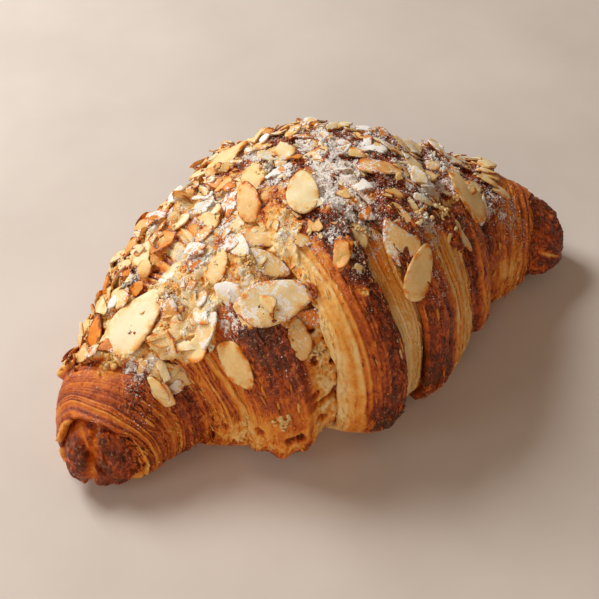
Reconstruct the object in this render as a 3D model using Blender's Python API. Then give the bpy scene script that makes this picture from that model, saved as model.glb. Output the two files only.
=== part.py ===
"""An almond croissant, baked and topped with sliced almonds, as one solid.

The body is a grid wrapped round a bent centre line. A station is a length
along that line, from the left tip to the right tip, and an angle turns round
it: 0 in front, 90 on top, 180 behind, 270 underneath. The wraps of dough,
the torn hem and the crusty topping lift the grid off a smooth envelope, and
the almond slices are joined to it by one Boolean union.
"""
import math
import random

import bmesh
import bpy
import numpy as np

MM = 0.001

# Centre line in plan: x and y of the points that it passes, left tip first.
CENTRE_LINE = [
    (-78.5, -31.0), (-76.0, -23.5), (-67.5, -13.5), (-46.5, -5.0), (-12.5, -2.0),
    (27.5, 2.0), (56.5, 2.0), (75.0, -6.0), (83.0, -16.5),
]
FIRST_STATION = 5.0

# Girth: station, half width and height of the smooth envelope.
GIRTH = [
    (5, 9.2, 17.0), (9, 11.2, 20.0), (20, 15.2, 26.0), (32, 20.0, 31.5),
    (46, 28.8, 39.5), (66, 40.0, 51.5), (86, 46.0, 59.0), (107, 45.5, 60.5),
    (128, 38.0, 54.0), (146, 27.0, 43.5), (161, 20.0, 33.5), (172, 14.8, 27.0),
    (181, 11.0, 22.0), (190, 8.5, 18.0),
]
TIP_RISE = (1.8, 3.8)    # how far the left and right tips curl up off the tray
TIP_RISE_LENGTH = 22.0
WAIST = 0.4              # height of the widest line, as a share of the height
UPPER_ROUNDNESS = 2.15   # superellipse power above the waist
LOWER_ROUNDNESS = 3.2    # and below it, which gives the flatter underside
SINK = 0.7               # the underside is cut flat this far up
LEFT_CAP = 7.0           # length over which each tip closes
RIGHT_CAP = 8.0

# Wraps of dough: station and lift off the envelope, across the whole roll.
WRAPS = [
    (5, -0.6), (9.0, -1.2), (10.3, 0.9), (17, 1.4), (24, 1.6), (33, 1.0), (36, -1.0),
    (38, -1.3), (39.5, 0.5), (47, 1.3), (56, 2.3), (62, 2.7), (69, 2.1), (72.5, -1.0),
    (76, -2.6), (77.5, -0.6), (80, 1.4), (84, 3.0), (88, 3.6), (92, 2.8), (94, 0.0),
    (100, -1.4), (101.8, 1.8), (107, 2.4), (112.5, 1.8), (120, 0.9), (126.5, 0.0),
    (128, -1.9), (133, -1.9), (134.4, 0.2), (139, 0.8), (143, -0.4), (144.5, -1.5),
    (149, -1.3), (152, 0.3), (160, 0.9), (168, 0.7), (175.2, 0.5), (176.6, -1.1),
    (187, -0.4),
]
# Lean: station, and how far a wrap's edge there leans along the roll, front to top.
LEAN = [
    (5, 0.0), (10, -3.8), (24, 0.4), (38, 4.2), (60, 2.6), (88, 0.0), (120, -2.9),
    (148, -4.6), (162, 0.2), (175.5, 4.4), (186, 0.0),
]
LEAN_STOPS_AT = -0.6     # behind this cosine of the angle an edge leans no further
WRAP_FADE = (64.0, 86.0)  # the steps sink under the topping between these angles
WRAP_LEFT_OVER = 0.4
CLEFTS = [(5.0, 10.3, 121.0, 2.6), (179.0, 188.0, 35.0, 0.8)]
CLEFT_SPREAD = 12.0

# Topping of baked almond cream.
TOPPING_STATIONS = (24.0, 40.0, 150.0, 168.0)
TOPPING_EDGE = 50.0      # lower edge in front, as an angle
TOPPING_SWING = 9.0      # how far that edge wanders
TOPPING_FADE = 8.0
TOPPING_BACK = 158.0
TOPPING_THICKNESS = 1.3
TOPPING_LUMPS = 1.5
LUMP_SIZE = 6.5
CRUST_WAVES = 0.8
CRUST_WAVE_SIZE = 13.0

# Torn, ragged hem where the wraps meet the baking tray in front.
HEM_STATIONS = (42.0, 52.0, 72.0, 78.0)
HEM_OUT = 2.0
HEM_ANGLE = -18.0
HEM_SPREAD = 14.0
FOOT_STATION = 88.0
FOOT_HALF_WIDTH = 5.0
FOOT_OUT = 1.6

# Grid.
STATION_STEP = 3.6
STATION_GAP = 1.2
UPPER_COLUMNS = 31
LOWER_COLUMNS = 5
UPPER_START = -28.0
UPPER_END = 208.0

# Almond slices.
SLICE_SIDES = 8
SLICE_ASPECT = 0.52
SLICE_POINT = 0.28       # how far the slice narrows to its pointed end
SLICE_ABOVE = 0.7
SLICE_BELOW = 2.4
SLICE_TAPER = 0.82
SLICE_FOOTING = 1.5      # a slice lies along the crust between points this far each way
# Station, angle, turn in degrees, length in mm of the large slices in front.
LARGE_SLICES = [
    (43, 96, -5, 23), (90, 87, 58, 16), (73, 73, -46, 14), (76, 83, -40, 13),
    (71, 57, -5, 22), (65, 57.5, -10, 15), (53, 39.5, -86, 15), (105, 57.5, 70, 18),
    (105, 42, 42, 17), (138, 65, 111, 18), (79, 96, 65, 14), (85, 106, 60, 14),
    (55, 95, 0, 14), (75, 46, 5, 11), (71.5, 40, 80, 12), (40, 128, 30, 14),
    (87, 130, 20, 18), (95, 65, 70, 9), (127, 61, 0, 10), (112, 84, -30, 14),
    (100, 98, 20, 12), (126, 88, 80, 12), (64, 82, 40, 11), (52, 62, 20, 12),
]
SCATTER_SEED = 14
SCATTER_COUNT = 44
SCATTER_LENGTHS = (5.0, 11.0)
SCATTER_STATIONS = (34.0, 160.0)
SCATTER_ANGLES = (62.0, 150.0)
SCATTER_SPACING = 7.5

# Merging of the joined mesh.
WELD_DISTANCE = 0.0000005


def smooth_step(low, high, value):
    """0 below low, 1 above high, with an eased slope between them."""
    share = np.clip((value - low) / (high - low), 0.0, 1.0)
    return share * share * (3.0 - 2.0 * share)


def plateau(limits, value):
    """Rise from the first limit to the second and fall from the third to the fourth."""
    rise = smooth_step(limits[0], limits[1], value)
    fall = smooth_step(limits[2], limits[3], value)
    return rise * (1.0 - fall)


def through_rows(rows, value):
    """Smooth curve through rows of a key and its values: cubic pieces with shared slopes."""
    table = np.array(rows, dtype=float)
    keys = table[:, 0]
    levels = table[:, 1:]
    slopes = np.gradient(levels, keys, axis=0)
    index = np.clip(np.searchsorted(keys, value, side="right") - 1, 0, len(keys) - 2)
    width = (keys[index + 1] - keys[index])[..., None]
    share = np.clip((value - keys[index])[..., None] / width, 0.0, 1.0)
    square = share * share
    cube = square * share
    return (
        (2 * cube - 3 * square + 1) * levels[index]
        + (cube - 2 * square + share) * width * slopes[index]
        + (3 * square - 2 * cube) * levels[index + 1]
        + (cube - square) * width * slopes[index + 1]
    )


def measured_line():
    """The centre line as close points, with the length run at each and its heading."""
    corners = np.array(CENTRE_LINE)
    chords = np.hypot(*np.diff(corners, axis=0).T)
    keys = np.concatenate([[0.0], np.cumsum(chords)])
    points = through_rows(np.column_stack([keys, corners]), np.linspace(0.0, keys[-1], 1201))
    steps = np.hypot(*np.diff(points, axis=0).T)
    run = np.concatenate([[0.0], np.cumsum(steps)])
    heading = np.gradient(points, run, axis=0)
    return run, points, heading / np.hypot(*heading.T)[:, None]


LINE_RUN, LINE_POINTS, LINE_HEADING = measured_line()
LAST_STATION = FIRST_STATION + LINE_RUN[-1]


def on_line(station):
    """Place and heading of the centre line at a station."""
    run = station - FIRST_STATION
    place = [np.interp(run, LINE_RUN, LINE_POINTS[:, axis]) for axis in (0, 1)]
    heading = [np.interp(run, LINE_RUN, LINE_HEADING[:, axis]) for axis in (0, 1)]
    return place, heading


def grain(points, size, seed):
    """Smooth noise from -1 to 1: hashed corners of a lattice, blended between them."""
    scaled = points / size
    cell = np.floor(scaled)
    share = scaled - cell
    share = share * share * (3.0 - 2.0 * share)
    total = np.zeros(points.shape[:-1])
    for corner in np.ndindex(2, 2, 2):
        offset = np.array(corner)
        weight = np.prod(np.where(offset == 1, share, 1.0 - share), axis=-1)
        hashed = np.sin((cell + offset) @ np.array([12.9898, 78.233, 37.719]) + seed) * 43758.5453
        total += weight * (2.0 * (hashed - np.floor(hashed)) - 1.0)
    return total


def leaned(line, angle):
    """Station that a wrap line passes at this angle, because the edges lean."""
    turn = np.maximum(np.cos(np.radians(angle)), LEAN_STOPS_AT) - math.cos(math.radians(45.0))
    return line + through_rows(LEAN, line)[..., 0] * turn


def envelope(station, angle):
    """Smooth closed form: a superellipse cross-section carried along the centre line."""
    (x, y), (along_x, along_y) = on_line(station)
    half_width, height = np.moveaxis(through_rows(GIRTH, station), -1, 0)
    ahead = np.clip((station - FIRST_STATION) / LEFT_CAP, 0.0, 1.0)
    left = np.clip((LAST_STATION - station) / RIGHT_CAP, 0.0, 1.0)
    cap = np.sqrt((1.0 - (1.0 - ahead) ** 2) * (1.0 - (1.0 - left) ** 2))
    turn = np.radians(angle)
    power = np.where(np.sin(turn) < 0.0, LOWER_ROUNDNESS, UPPER_ROUNDNESS)
    across = -np.sign(np.cos(turn)) * np.abs(np.cos(turn)) ** (2.0 / power)
    up = np.sign(np.sin(turn)) * np.abs(np.sin(turn)) ** (2.0 / power)
    left_rise = TIP_RISE[0] * (1.0 - smooth_step(0.0, TIP_RISE_LENGTH, station - FIRST_STATION))
    right_rise = TIP_RISE[1] * (1.0 - smooth_step(0.0, TIP_RISE_LENGTH, LAST_STATION - station))
    waist = WAIST * height + 0.5 * (left_rise + right_rise)
    reach = np.where(up < 0.0, waist - left_rise - right_rise, height - waist)
    offset = half_width * cap * across
    return np.stack([x - along_y * offset, y + along_x * offset, waist + cap * reach * up], axis=-1)


def turned_from(angle, middle):
    """Degrees from one angle to another, the short way round."""
    return (angle - middle + 180.0) % 360.0 - 180.0


def topping_cover(station, angle):
    """1 under the topping and 0 clear of it, with a wandering lower edge."""
    wander = np.sin(station / 7.3) + 0.6 * np.sin(station / 3.1 + 1.0)
    edge = TOPPING_EDGE + TOPPING_SWING * wander
    front = smooth_step(edge, edge + TOPPING_FADE, angle)
    back = 1.0 - smooth_step(TOPPING_BACK, TOPPING_BACK + TOPPING_FADE, angle)
    return plateau(TOPPING_STATIONS, station) * front * back


def lift(station, angle, points):
    """How far the crust stands off the envelope: wraps, topping, hem and unevenness."""
    keys, levels = np.array(WRAPS).T
    cover = topping_cover(station, angle)
    sunk = smooth_step(*WRAP_FADE, angle) * plateau(TOPPING_STATIONS, station)
    fade = 1.0 - (1.0 - WRAP_LEFT_OVER) * sunk
    wraps = np.interp(station, keys, levels) * fade
    lumps = TOPPING_THICKNESS + TOPPING_LUMPS * grain(points, LUMP_SIZE, 3.0)
    waves = CRUST_WAVES * grain(points, CRUST_WAVE_SIZE, 8.0)
    low = np.exp(-((turned_from(angle, HEM_ANGLE) / HEM_SPREAD) ** 2))
    ragged = 1.0 + 0.7 * np.sin(station / 1.9) * np.sin(station / 4.3)
    hem = HEM_OUT * plateau(HEM_STATIONS, station) * ragged * low
    foot = FOOT_OUT * np.exp(-(((station - FOOT_STATION) / FOOT_HALF_WIDTH) ** 2)) * low
    total = wraps + cover * lumps + waves + hem + foot
    for start, end, middle, depth in CLEFTS:
        along = plateau((start - 6.0, start, end - 3.0, end), station)
        total -= depth * along * np.exp(-((turned_from(angle, middle) / CLEFT_SPREAD) ** 2))
    return total


def outward(station, angle):
    """Direction straight out of the envelope."""
    small = 0.05
    along = envelope(station + small, angle) - envelope(station - small, angle)
    around = envelope(station, angle + small) - envelope(station, angle - small)
    normal = np.cross(along, around)
    return normal / np.linalg.norm(normal, axis=-1, keepdims=True)


def crust(line, angle):
    """Points of the finished surface on a wrap line, in millimetres."""
    station = leaned(line, angle)
    base = envelope(station, angle)
    inner = np.clip(station, FIRST_STATION + 0.5, LAST_STATION - 0.5)
    points = base + outward(inner, angle) * lift(line, angle, base)[..., None]
    points[..., 2] = np.maximum(points[..., 2] - SINK, 0.0)
    return points


def station_lines():
    """Stations of the grid: even steps, with a line at each bend of the wraps."""
    bends = [row[0] for row in WRAPS[1:-1]]
    even = np.arange(FIRST_STATION + 1.0, LAST_STATION - 0.5, STATION_STEP)
    lines = list(bends)
    lines += [line for line in even if min(abs(line - bend) for bend in bends) > STATION_GAP]
    lines += [FIRST_STATION + 0.25, LAST_STATION - 0.25]
    return np.array(sorted(lines))


def ring_angles():
    """Angles of the grid: close together above the tray and far apart underneath."""
    upper = np.linspace(UPPER_START, UPPER_END, UPPER_COLUMNS)
    lower = np.linspace(UPPER_END, UPPER_START + 360.0, LOWER_COLUMNS + 1)[1:-1]
    return np.concatenate([upper, lower])


def grid_faces(rows, columns):
    """Quads of a tube whose rings are rows, with a fan to a pole at each end."""
    faces = []
    for row in range(rows - 1):
        for column in range(columns):
            after = (column + 1) % columns
            first = row * columns
            beyond = first + columns
            faces.append((first + column, beyond + column, beyond + after, first + after))
    left_pole = rows * columns
    right_pole = left_pole + 1
    last = (rows - 1) * columns
    for column in range(columns):
        after = (column + 1) % columns
        faces.append((left_pole, column, after))
        faces.append((right_pole, last + after, last + column))
    return faces


def add_object(name, points, faces, collection):
    """Put a closed mesh, given in millimetres, into the scene in metres."""
    mesh = bpy.data.meshes.new(name)
    mesh.from_pydata((np.asarray(points) * MM).tolist(), [], faces)
    working = bmesh.new()
    working.from_mesh(mesh)
    bmesh.ops.recalc_face_normals(working, faces=working.faces)
    bmesh.ops.triangulate(working, faces=working.faces)
    working.to_mesh(mesh)
    working.free()
    body = bpy.data.objects.new(name, mesh)
    collection.objects.link(body)
    return body


def make_body(collection):
    """The croissant's body: rings of the crust, closed at both tips."""
    lines = station_lines()
    angles = ring_angles()
    station, angle = np.meshgrid(lines, angles, indexing="ij")
    rings = crust(station, angle)
    poles = [rings[0].mean(axis=0), rings[-1].mean(axis=0)]
    points = np.concatenate([rings.reshape(-1, 3), poles])
    return add_object("croissant", points, grid_faces(len(lines), len(angles)), collection)


def slice_outline():
    """Flat outline of an almond slice of length 1: an oval drawn out to a point."""
    turn = np.arange(SLICE_SIDES) * 2.0 * math.pi / SLICE_SIDES
    along = 0.5 * np.cos(turn)
    across = 0.5 * SLICE_ASPECT * np.sin(turn) * (1.0 - SLICE_POINT * np.cos(turn))
    return np.stack([along, across], axis=-1)


def slice_solid(station, angle, turn, length):
    """Points and faces of one slice, rooted in the crust under its middle."""
    middle = crust(np.array(station), np.array(angle))
    before = crust(np.array(station - SLICE_FOOTING), np.array(angle))
    after = crust(np.array(station + SLICE_FOOTING), np.array(angle))
    ahead = after - before
    normal = outward(np.array(station), np.array(angle))
    along = ahead - normal * np.dot(ahead, normal)
    along /= np.linalg.norm(along)
    across = np.cross(normal, along)
    spin = math.radians(turn)
    length_way = along * math.cos(spin) + across * math.sin(spin)
    width_way = np.cross(normal, length_way)
    flat = slice_outline() * length
    rim = middle + flat[:, :1] * length_way + flat[:, 1:] * width_way
    root = middle + SLICE_TAPER * (flat[:, :1] * length_way + flat[:, 1:] * width_way)
    top = rim + normal * SLICE_ABOVE
    bottom = root - normal * SLICE_BELOW
    sides = range(SLICE_SIDES)
    walls = []
    for side in sides:
        after_side = (side + 1) % SLICE_SIDES
        walls.append((side, after_side, SLICE_SIDES + after_side, SLICE_SIDES + side))
    lids = [tuple(sides), tuple(SLICE_SIDES + i for i in reversed(sides))]
    return np.concatenate([top, bottom]), walls + lids


def scattered_slices():
    """Smaller slices and fragments over the crest and behind, spaced by a seeded rule."""
    draw = random.Random(SCATTER_SEED)
    placed = [(row[0], row[1]) for row in LARGE_SLICES]
    rows = []
    while len(rows) < SCATTER_COUNT:
        station = draw.uniform(*SCATTER_STATIONS)
        angle = draw.uniform(*SCATTER_ANGLES)
        turn = draw.uniform(0.0, 180.0)
        length = draw.uniform(*SCATTER_LENGTHS)
        radius = float(through_rows(GIRTH, np.array(station))[1])
        gaps = [math.hypot(station - s, math.radians(angle - a) * radius) for s, a in placed]
        if min(gaps) < SCATTER_SPACING:
            continue
        placed.append((station, angle))
        rows.append((station, angle, turn, length))
    return rows


def join_slices(body, collection):
    """Fuse every almond slice to the body with one union, then drop their objects."""
    for index, row in enumerate(LARGE_SLICES + scattered_slices()):
        points, faces = slice_solid(*row)
        add_object(f"slice_{index:03d}", points, faces, collection)
    union = body.modifiers.new("almonds", "BOOLEAN")
    union.operation = "UNION"
    union.operand_type = "COLLECTION"
    union.collection = collection
    union.solver = "EXACT"
    evaluated = body.evaluated_get(bpy.context.evaluated_depsgraph_get())
    joined = bpy.data.meshes.new_from_object(evaluated)
    body.modifiers.clear()
    body.data = joined
    joined.name = body.name
    for piece in list(collection.objects):
        bpy.data.objects.remove(piece, do_unlink=True)
    bpy.data.collections.remove(collection)


def loose_parts(mesh):
    """Groups of vertices that hang together, the largest first."""
    left = set(mesh.verts)
    groups = []
    while left:
        seed = left.pop()
        group = [seed]
        waiting = [seed]
        while waiting:
            for edge in waiting.pop().link_edges:
                for other in edge.verts:
                    if other in left:
                        left.remove(other)
                        group.append(other)
                        waiting.append(other)
        groups.append(group)
    return sorted(groups, key=len, reverse=True)


def tidy_mesh(body):
    """Weld slivers, drop sealed hollows and scraps, and leave plain triangles."""
    working = bmesh.new()
    working.from_mesh(body.data)
    bmesh.ops.remove_doubles(working, verts=working.verts, dist=WELD_DISTANCE)
    bmesh.ops.dissolve_degenerate(working, edges=working.edges, dist=WELD_DISTANCE)
    for scrap in loose_parts(working)[1:]:
        bmesh.ops.delete(working, geom=scrap, context="VERTS")
    bmesh.ops.triangulate(working, faces=working.faces)
    bmesh.ops.recalc_face_normals(working, faces=working.faces)
    working.to_mesh(body.data)
    working.free()


def baked_pastry():
    """Golden brown, slightly shiny baked dough."""
    material = bpy.data.materials.new("baked_pastry")
    material.use_nodes = True
    shader = material.node_tree.nodes["Principled BSDF"]
    shader.inputs["Base Color"].default_value = (0.42, 0.19, 0.06, 1.0)
    shader.inputs["Roughness"].default_value = 0.55
    shader.inputs["Metallic"].default_value = 0.0
    return material


def main():
    """Clear the scene and build the croissant."""
    for old in list(bpy.data.objects):
        bpy.data.objects.remove(old, do_unlink=True)
    scene = bpy.context.scene.collection
    slices = bpy.data.collections.new("slices")
    scene.children.link(slices)
    body = make_body(scene)
    join_slices(body, slices)
    tidy_mesh(body)
    body.data.materials.clear()
    body.data.materials.append(baked_pastry())
    body.data.shade_smooth()
    body.data.set_sharp_from_angle(angle=math.radians(35.0))


main()
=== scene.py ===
"""An almond croissant: flaky wraps of dough, baked almond cream, sliced almonds and icing sugar.

A point of the crust is named by its line, a length in millimetres along the roll
from the left tip, and its angle round the roll: 0 in front, 90 on top, 180 behind
and 270 underneath. The smooth form, the wraps and the large almond slices are the
ones of the solid; the layers, crumbs and sugar are added on top of them.
"""

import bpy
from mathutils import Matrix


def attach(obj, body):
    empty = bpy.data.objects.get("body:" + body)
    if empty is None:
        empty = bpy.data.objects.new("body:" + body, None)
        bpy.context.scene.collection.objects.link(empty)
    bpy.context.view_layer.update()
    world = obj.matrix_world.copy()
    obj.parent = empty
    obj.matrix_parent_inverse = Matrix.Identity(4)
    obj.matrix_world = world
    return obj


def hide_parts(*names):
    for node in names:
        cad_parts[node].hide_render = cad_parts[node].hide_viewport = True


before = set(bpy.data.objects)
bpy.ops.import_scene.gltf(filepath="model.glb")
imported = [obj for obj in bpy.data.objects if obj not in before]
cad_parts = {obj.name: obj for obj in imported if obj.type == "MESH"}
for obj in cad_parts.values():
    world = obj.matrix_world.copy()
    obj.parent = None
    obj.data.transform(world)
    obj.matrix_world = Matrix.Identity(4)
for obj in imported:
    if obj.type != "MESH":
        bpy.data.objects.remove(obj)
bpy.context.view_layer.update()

import logging
import math
import random
from dataclasses import dataclass, field, replace
from enum import Enum

import bpy
import numpy as np
from mathutils import Vector

Array = np.ndarray
Rows = tuple[tuple[float, ...], ...]
Span = tuple[float, float]
Triple = tuple[float, float, float]
Limits = tuple[float, float, float, float]

LOG = logging.getLogger("croissant")
MM = 0.001
NODE = "croissant"
BODY = "root"

HASH_WAY = np.array([12.9898, 78.233, 37.719])
HASH_SCALE = 43758.5453
CREASE_WAY = np.array([1.0, 0.45, 0.8])  # creases are long where this is small
MEAN_RADIUS = 36.0  # of the roll, for lengths measured round it
FULL_TURN = 6.28  # radians, the reach of a random turn
WIDEST = 48.0  # just over the largest half width, so that places are spread evenly by area
KEEP_PAST = 0.3  # how far past its edges a wrap still reads its own profile


# ----- Numbers and noise -----

def smooth_step(low: float | Array, high: float | Array, value: Array) -> Array:
    """0 below low and 1 above high, and between them 3t^2 - 2t^3 of the share t of the way."""
    share = np.clip((value - low) / (high - low), 0.0, 1.0)
    return share * share * (3.0 - 2.0 * share)


def plateau(limits: Limits, value: Array) -> Array:
    """0 up to the first limit, 1 from the second to the third, and 0 past the fourth."""
    return smooth_step(*limits[:2], value) * (1.0 - smooth_step(*limits[2:], value))


def through_rows(rows: Rows | Array, value: Array) -> Array:
    """Smooth curve through rows of a key and its values: cubic pieces with shared slopes.

    Args:
        rows: key first, then the values at it.
        value: keys to read the curve at.

    Returns:
        One row of values for each key read.
    """
    table = np.array(rows, dtype=float)
    keys = table[:, 0]
    levels = table[:, 1:]
    slopes = np.gradient(levels, keys, axis=0)
    index = np.clip(np.searchsorted(keys, value, side="right") - 1, 0, len(keys) - 2)
    width = (keys[index + 1] - keys[index])[..., None]
    share = np.clip((value - keys[index])[..., None] / width, 0.0, 1.0)
    square = share * share
    cube = square * share
    return (
        (2 * cube - 3 * square + 1) * levels[index]
        + (cube - 2 * square + share) * width * slopes[index]
        + (3 * square - 2 * cube) * levels[index + 1]
        + (cube - square) * width * slopes[index + 1]
    )


def turned_from(angle: Array, middle: float) -> Array:
    """Degrees from the middle to each angle, the short way round."""
    return (angle - middle + 180.0) % 360.0 - 180.0


def hashed(cell: Array, seed: float) -> Array:
    """A repeatable number from 0 to 1 for each lattice cell: the fraction of a large sine."""
    value = np.sin(cell @ HASH_WAY + seed) * HASH_SCALE
    return value - np.floor(value)


def grain(points: Array, size: float, seed: float) -> Array:
    """Smooth noise: hashed corners of a lattice, blended between them with an eased share.

    Args:
        points: places in millimetres.
        size: width of a lump in millimetres.
        seed: number that picks the pattern.

    Returns:
        Noise from -1 to 1 at each point.
    """
    scaled = points / size
    cell = np.floor(scaled)
    share = scaled - cell
    share = share * share * (3.0 - 2.0 * share)
    total = np.zeros(points.shape[:-1])
    for corner in np.ndindex(2, 2, 2):
        offset = np.array(corner)
        weight = np.prod(np.where(offset == 1, share, 1.0 - share), axis=-1)
        total += weight * (2.0 * hashed(cell + offset, seed) - 1.0)
    return total


def fractal(points: Array, size: float, seed: float, octaves: int = 3, gain: float = 0.55) -> Array:
    """Noise on noise: each layer is half as wide, weaker by the gain and turned a little.

    Args:
        points: places in millimetres.
        size: width of the widest lump.
        seed: number that picks the pattern.
        octaves: number of layers.
        gain: strength of each layer against the one before.

    Returns:
        Noise of about -1 to 1.
    """
    turn = np.array([[0.36, 0.48, -0.80], [-0.80, 0.60, 0.0], [0.48, 0.64, 0.60]])
    total = np.zeros(points.shape[:-1])
    reach = 0.0
    for octave in range(octaves):
        strength = gain**octave
        total += strength * grain(points, size / 2**octave, seed + 7.3 * octave)
        reach += strength
        points = points @ turn
    return total / (0.6 * reach)


def cells(points: Array, size: float, seed: float) -> tuple[Array, Array]:
    """Distance to the nearest of many scattered centres, one in each lattice cell.

    Args:
        points: places in millimetres.
        size: spacing of the centres.
        seed: number that picks the pattern.

    Returns:
        Distance in units of size, and a random number from 0 to 1 for each centre.
    """
    scaled = points / size
    base = np.floor(scaled)
    nearest = np.full(points.shape[:-1], 9.0)
    owner = np.zeros(points.shape[:-1])
    for corner in np.ndindex(3, 3, 3):
        cell = base + (np.array(corner) - 1)
        centre = np.stack([hashed(cell, seed + 1.7 * axis) for axis in range(3)], axis=-1)
        gap = np.linalg.norm(cell + centre - scaled, axis=-1)
        closer = gap < nearest
        nearest = np.where(closer, gap, nearest)
        owner = np.where(closer, hashed(cell, seed + 9.1), owner)
    return nearest, owner


def unit(vectors: Array) -> Array:
    """The vectors at length 1."""
    return vectors / np.maximum(np.linalg.norm(vectors, axis=-1, keepdims=True), 1e-9)


# ----- Meshes from arrays -----

def linked(name: str, data: bpy.types.ID) -> bpy.types.Object:
    """A new object that holds this data, linked to the scene."""
    made = bpy.data.objects.new(name, data)
    bpy.context.scene.collection.objects.link(made)
    return made


def grid_faces(rows: int, columns: int) -> tuple[Array, Array]:
    """Faces of rows of points that run round, closed at both ends by a fan.

    Args:
        rows: number of rows.
        columns: points in a row.

    Returns:
        Quads between the rows, and triangles to the two end points, which come last.
    """
    index = np.arange(rows * columns).reshape(rows, columns)
    after = np.roll(index, -1, axis=1)
    quads = np.stack([index[:-1], index[1:], after[1:], after[:-1]], axis=-1).reshape(-1, 4)
    first = np.stack([np.full(columns, rows * columns), index[0], after[0]], axis=-1)
    last = np.stack([np.full(columns, rows * columns + 1), after[-1], index[-1]], axis=-1)
    return quads, np.concatenate([first, last])


@dataclass
class Shape:
    """A mesh as arrays, in millimetres, with values on its points and a UV on its corners."""

    points: Array
    faces: list[Array]
    corner_uv: Array
    values: dict[str, Array] = field(default_factory=dict)

    def facing_out(self) -> "Shape":
        """The same shape, turned so that its faces point outwards.

        Returns:
            The shape itself if its signed volume is positive, or a reversed one.
        """
        volume = 0.0
        for faces in self.faces:
            for second in range(1, faces.shape[1] - 1):
                a, b, c = (self.points[faces[:, i]] for i in (0, second, second + 1))
                volume += np.einsum("ij,ij->", a, np.cross(b, c))
        if volume >= 0.0:
            return self
        uv = []
        start = 0
        for faces in self.faces:
            count = faces.size
            block = self.corner_uv[start : start + count].reshape(*faces.shape, 2)
            uv.append(block[:, ::-1].reshape(-1, 2))
            start += count
        return Shape(self.points, [f[:, ::-1] for f in self.faces], np.concatenate(uv), self.values)

    def to_object(self, name: str, smooth: bool = True) -> bpy.types.Object:
        """Make the mesh object, in metres, and link it to the scene.

        Args:
            name: name of the piece.
            smooth: shade it smooth, or else with flat faces.

        Returns:
            The new object.
        """
        mesh = bpy.data.meshes.new(name)
        corners = np.concatenate([faces.ravel() for faces in self.faces])
        sizes = np.concatenate([np.full(len(faces), faces.shape[1]) for faces in self.faces])
        starts = np.concatenate([[0], np.cumsum(sizes)[:-1]])
        mesh.vertices.add(len(self.points))
        mesh.vertices.foreach_set("co", (self.points * MM).ravel())
        mesh.loops.add(len(corners))
        mesh.loops.foreach_set("vertex_index", corners)
        mesh.polygons.add(len(sizes))
        mesh.polygons.foreach_set("loop_start", starts)
        mesh.update(calc_edges=True)
        layer = mesh.uv_layers.new(name="across")
        layer.data.foreach_set("uv", self.corner_uv.ravel())
        for key, value in self.values.items():
            store = mesh.attributes.new(key, "FLOAT", "POINT")
            store.data.foreach_set("value", value.astype(np.float32).ravel())
        mesh.validate()
        if smooth:
            mesh.shade_smooth()
        return linked(name, mesh)


def closed_tube(rings: Array, poles: Array, values: dict[str, Array]) -> Shape:
    """A tube of rings whose two ends are closed by fans.

    Args:
        rings: points of each ring, as rings by columns by 3.
        poles: one point for each end.
        values: numbers for each ring point; a pole takes the mean of its ring.

    Returns:
        The closed shape. Its UV runs round the tube in u and along it in v.
    """
    count, columns = rings.shape[:2]
    u = np.arange(columns) / columns
    step = 1.0 / columns
    v = np.arange(count) / (count - 1)
    low, left = np.meshgrid(v[:-1], u, indexing="ij")
    high = low + 1.0 / (count - 1)
    zero = np.zeros(columns)
    one = np.ones(columns)
    corner_uv = np.concatenate([
        np.stack(block, axis=-1).reshape(-1, 2)
        for block in (
            (left, low, left, high, left + step, high, left + step, low),
            (u + step / 2, zero, u, zero, u + step, zero),
            (u + step / 2, one, u + step, one, u, one),
        )
    ])
    points = np.concatenate([rings.reshape(-1, 3), poles])
    carried = {
        key: np.concatenate([value.ravel(), [value[0].mean(), value[-1].mean()]])
        for key, value in values.items()
    }
    return Shape(points, list(grid_faces(count, columns)), corner_uv, carried).facing_out()


# ----- The form that the scene shares with the solid -----

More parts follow.
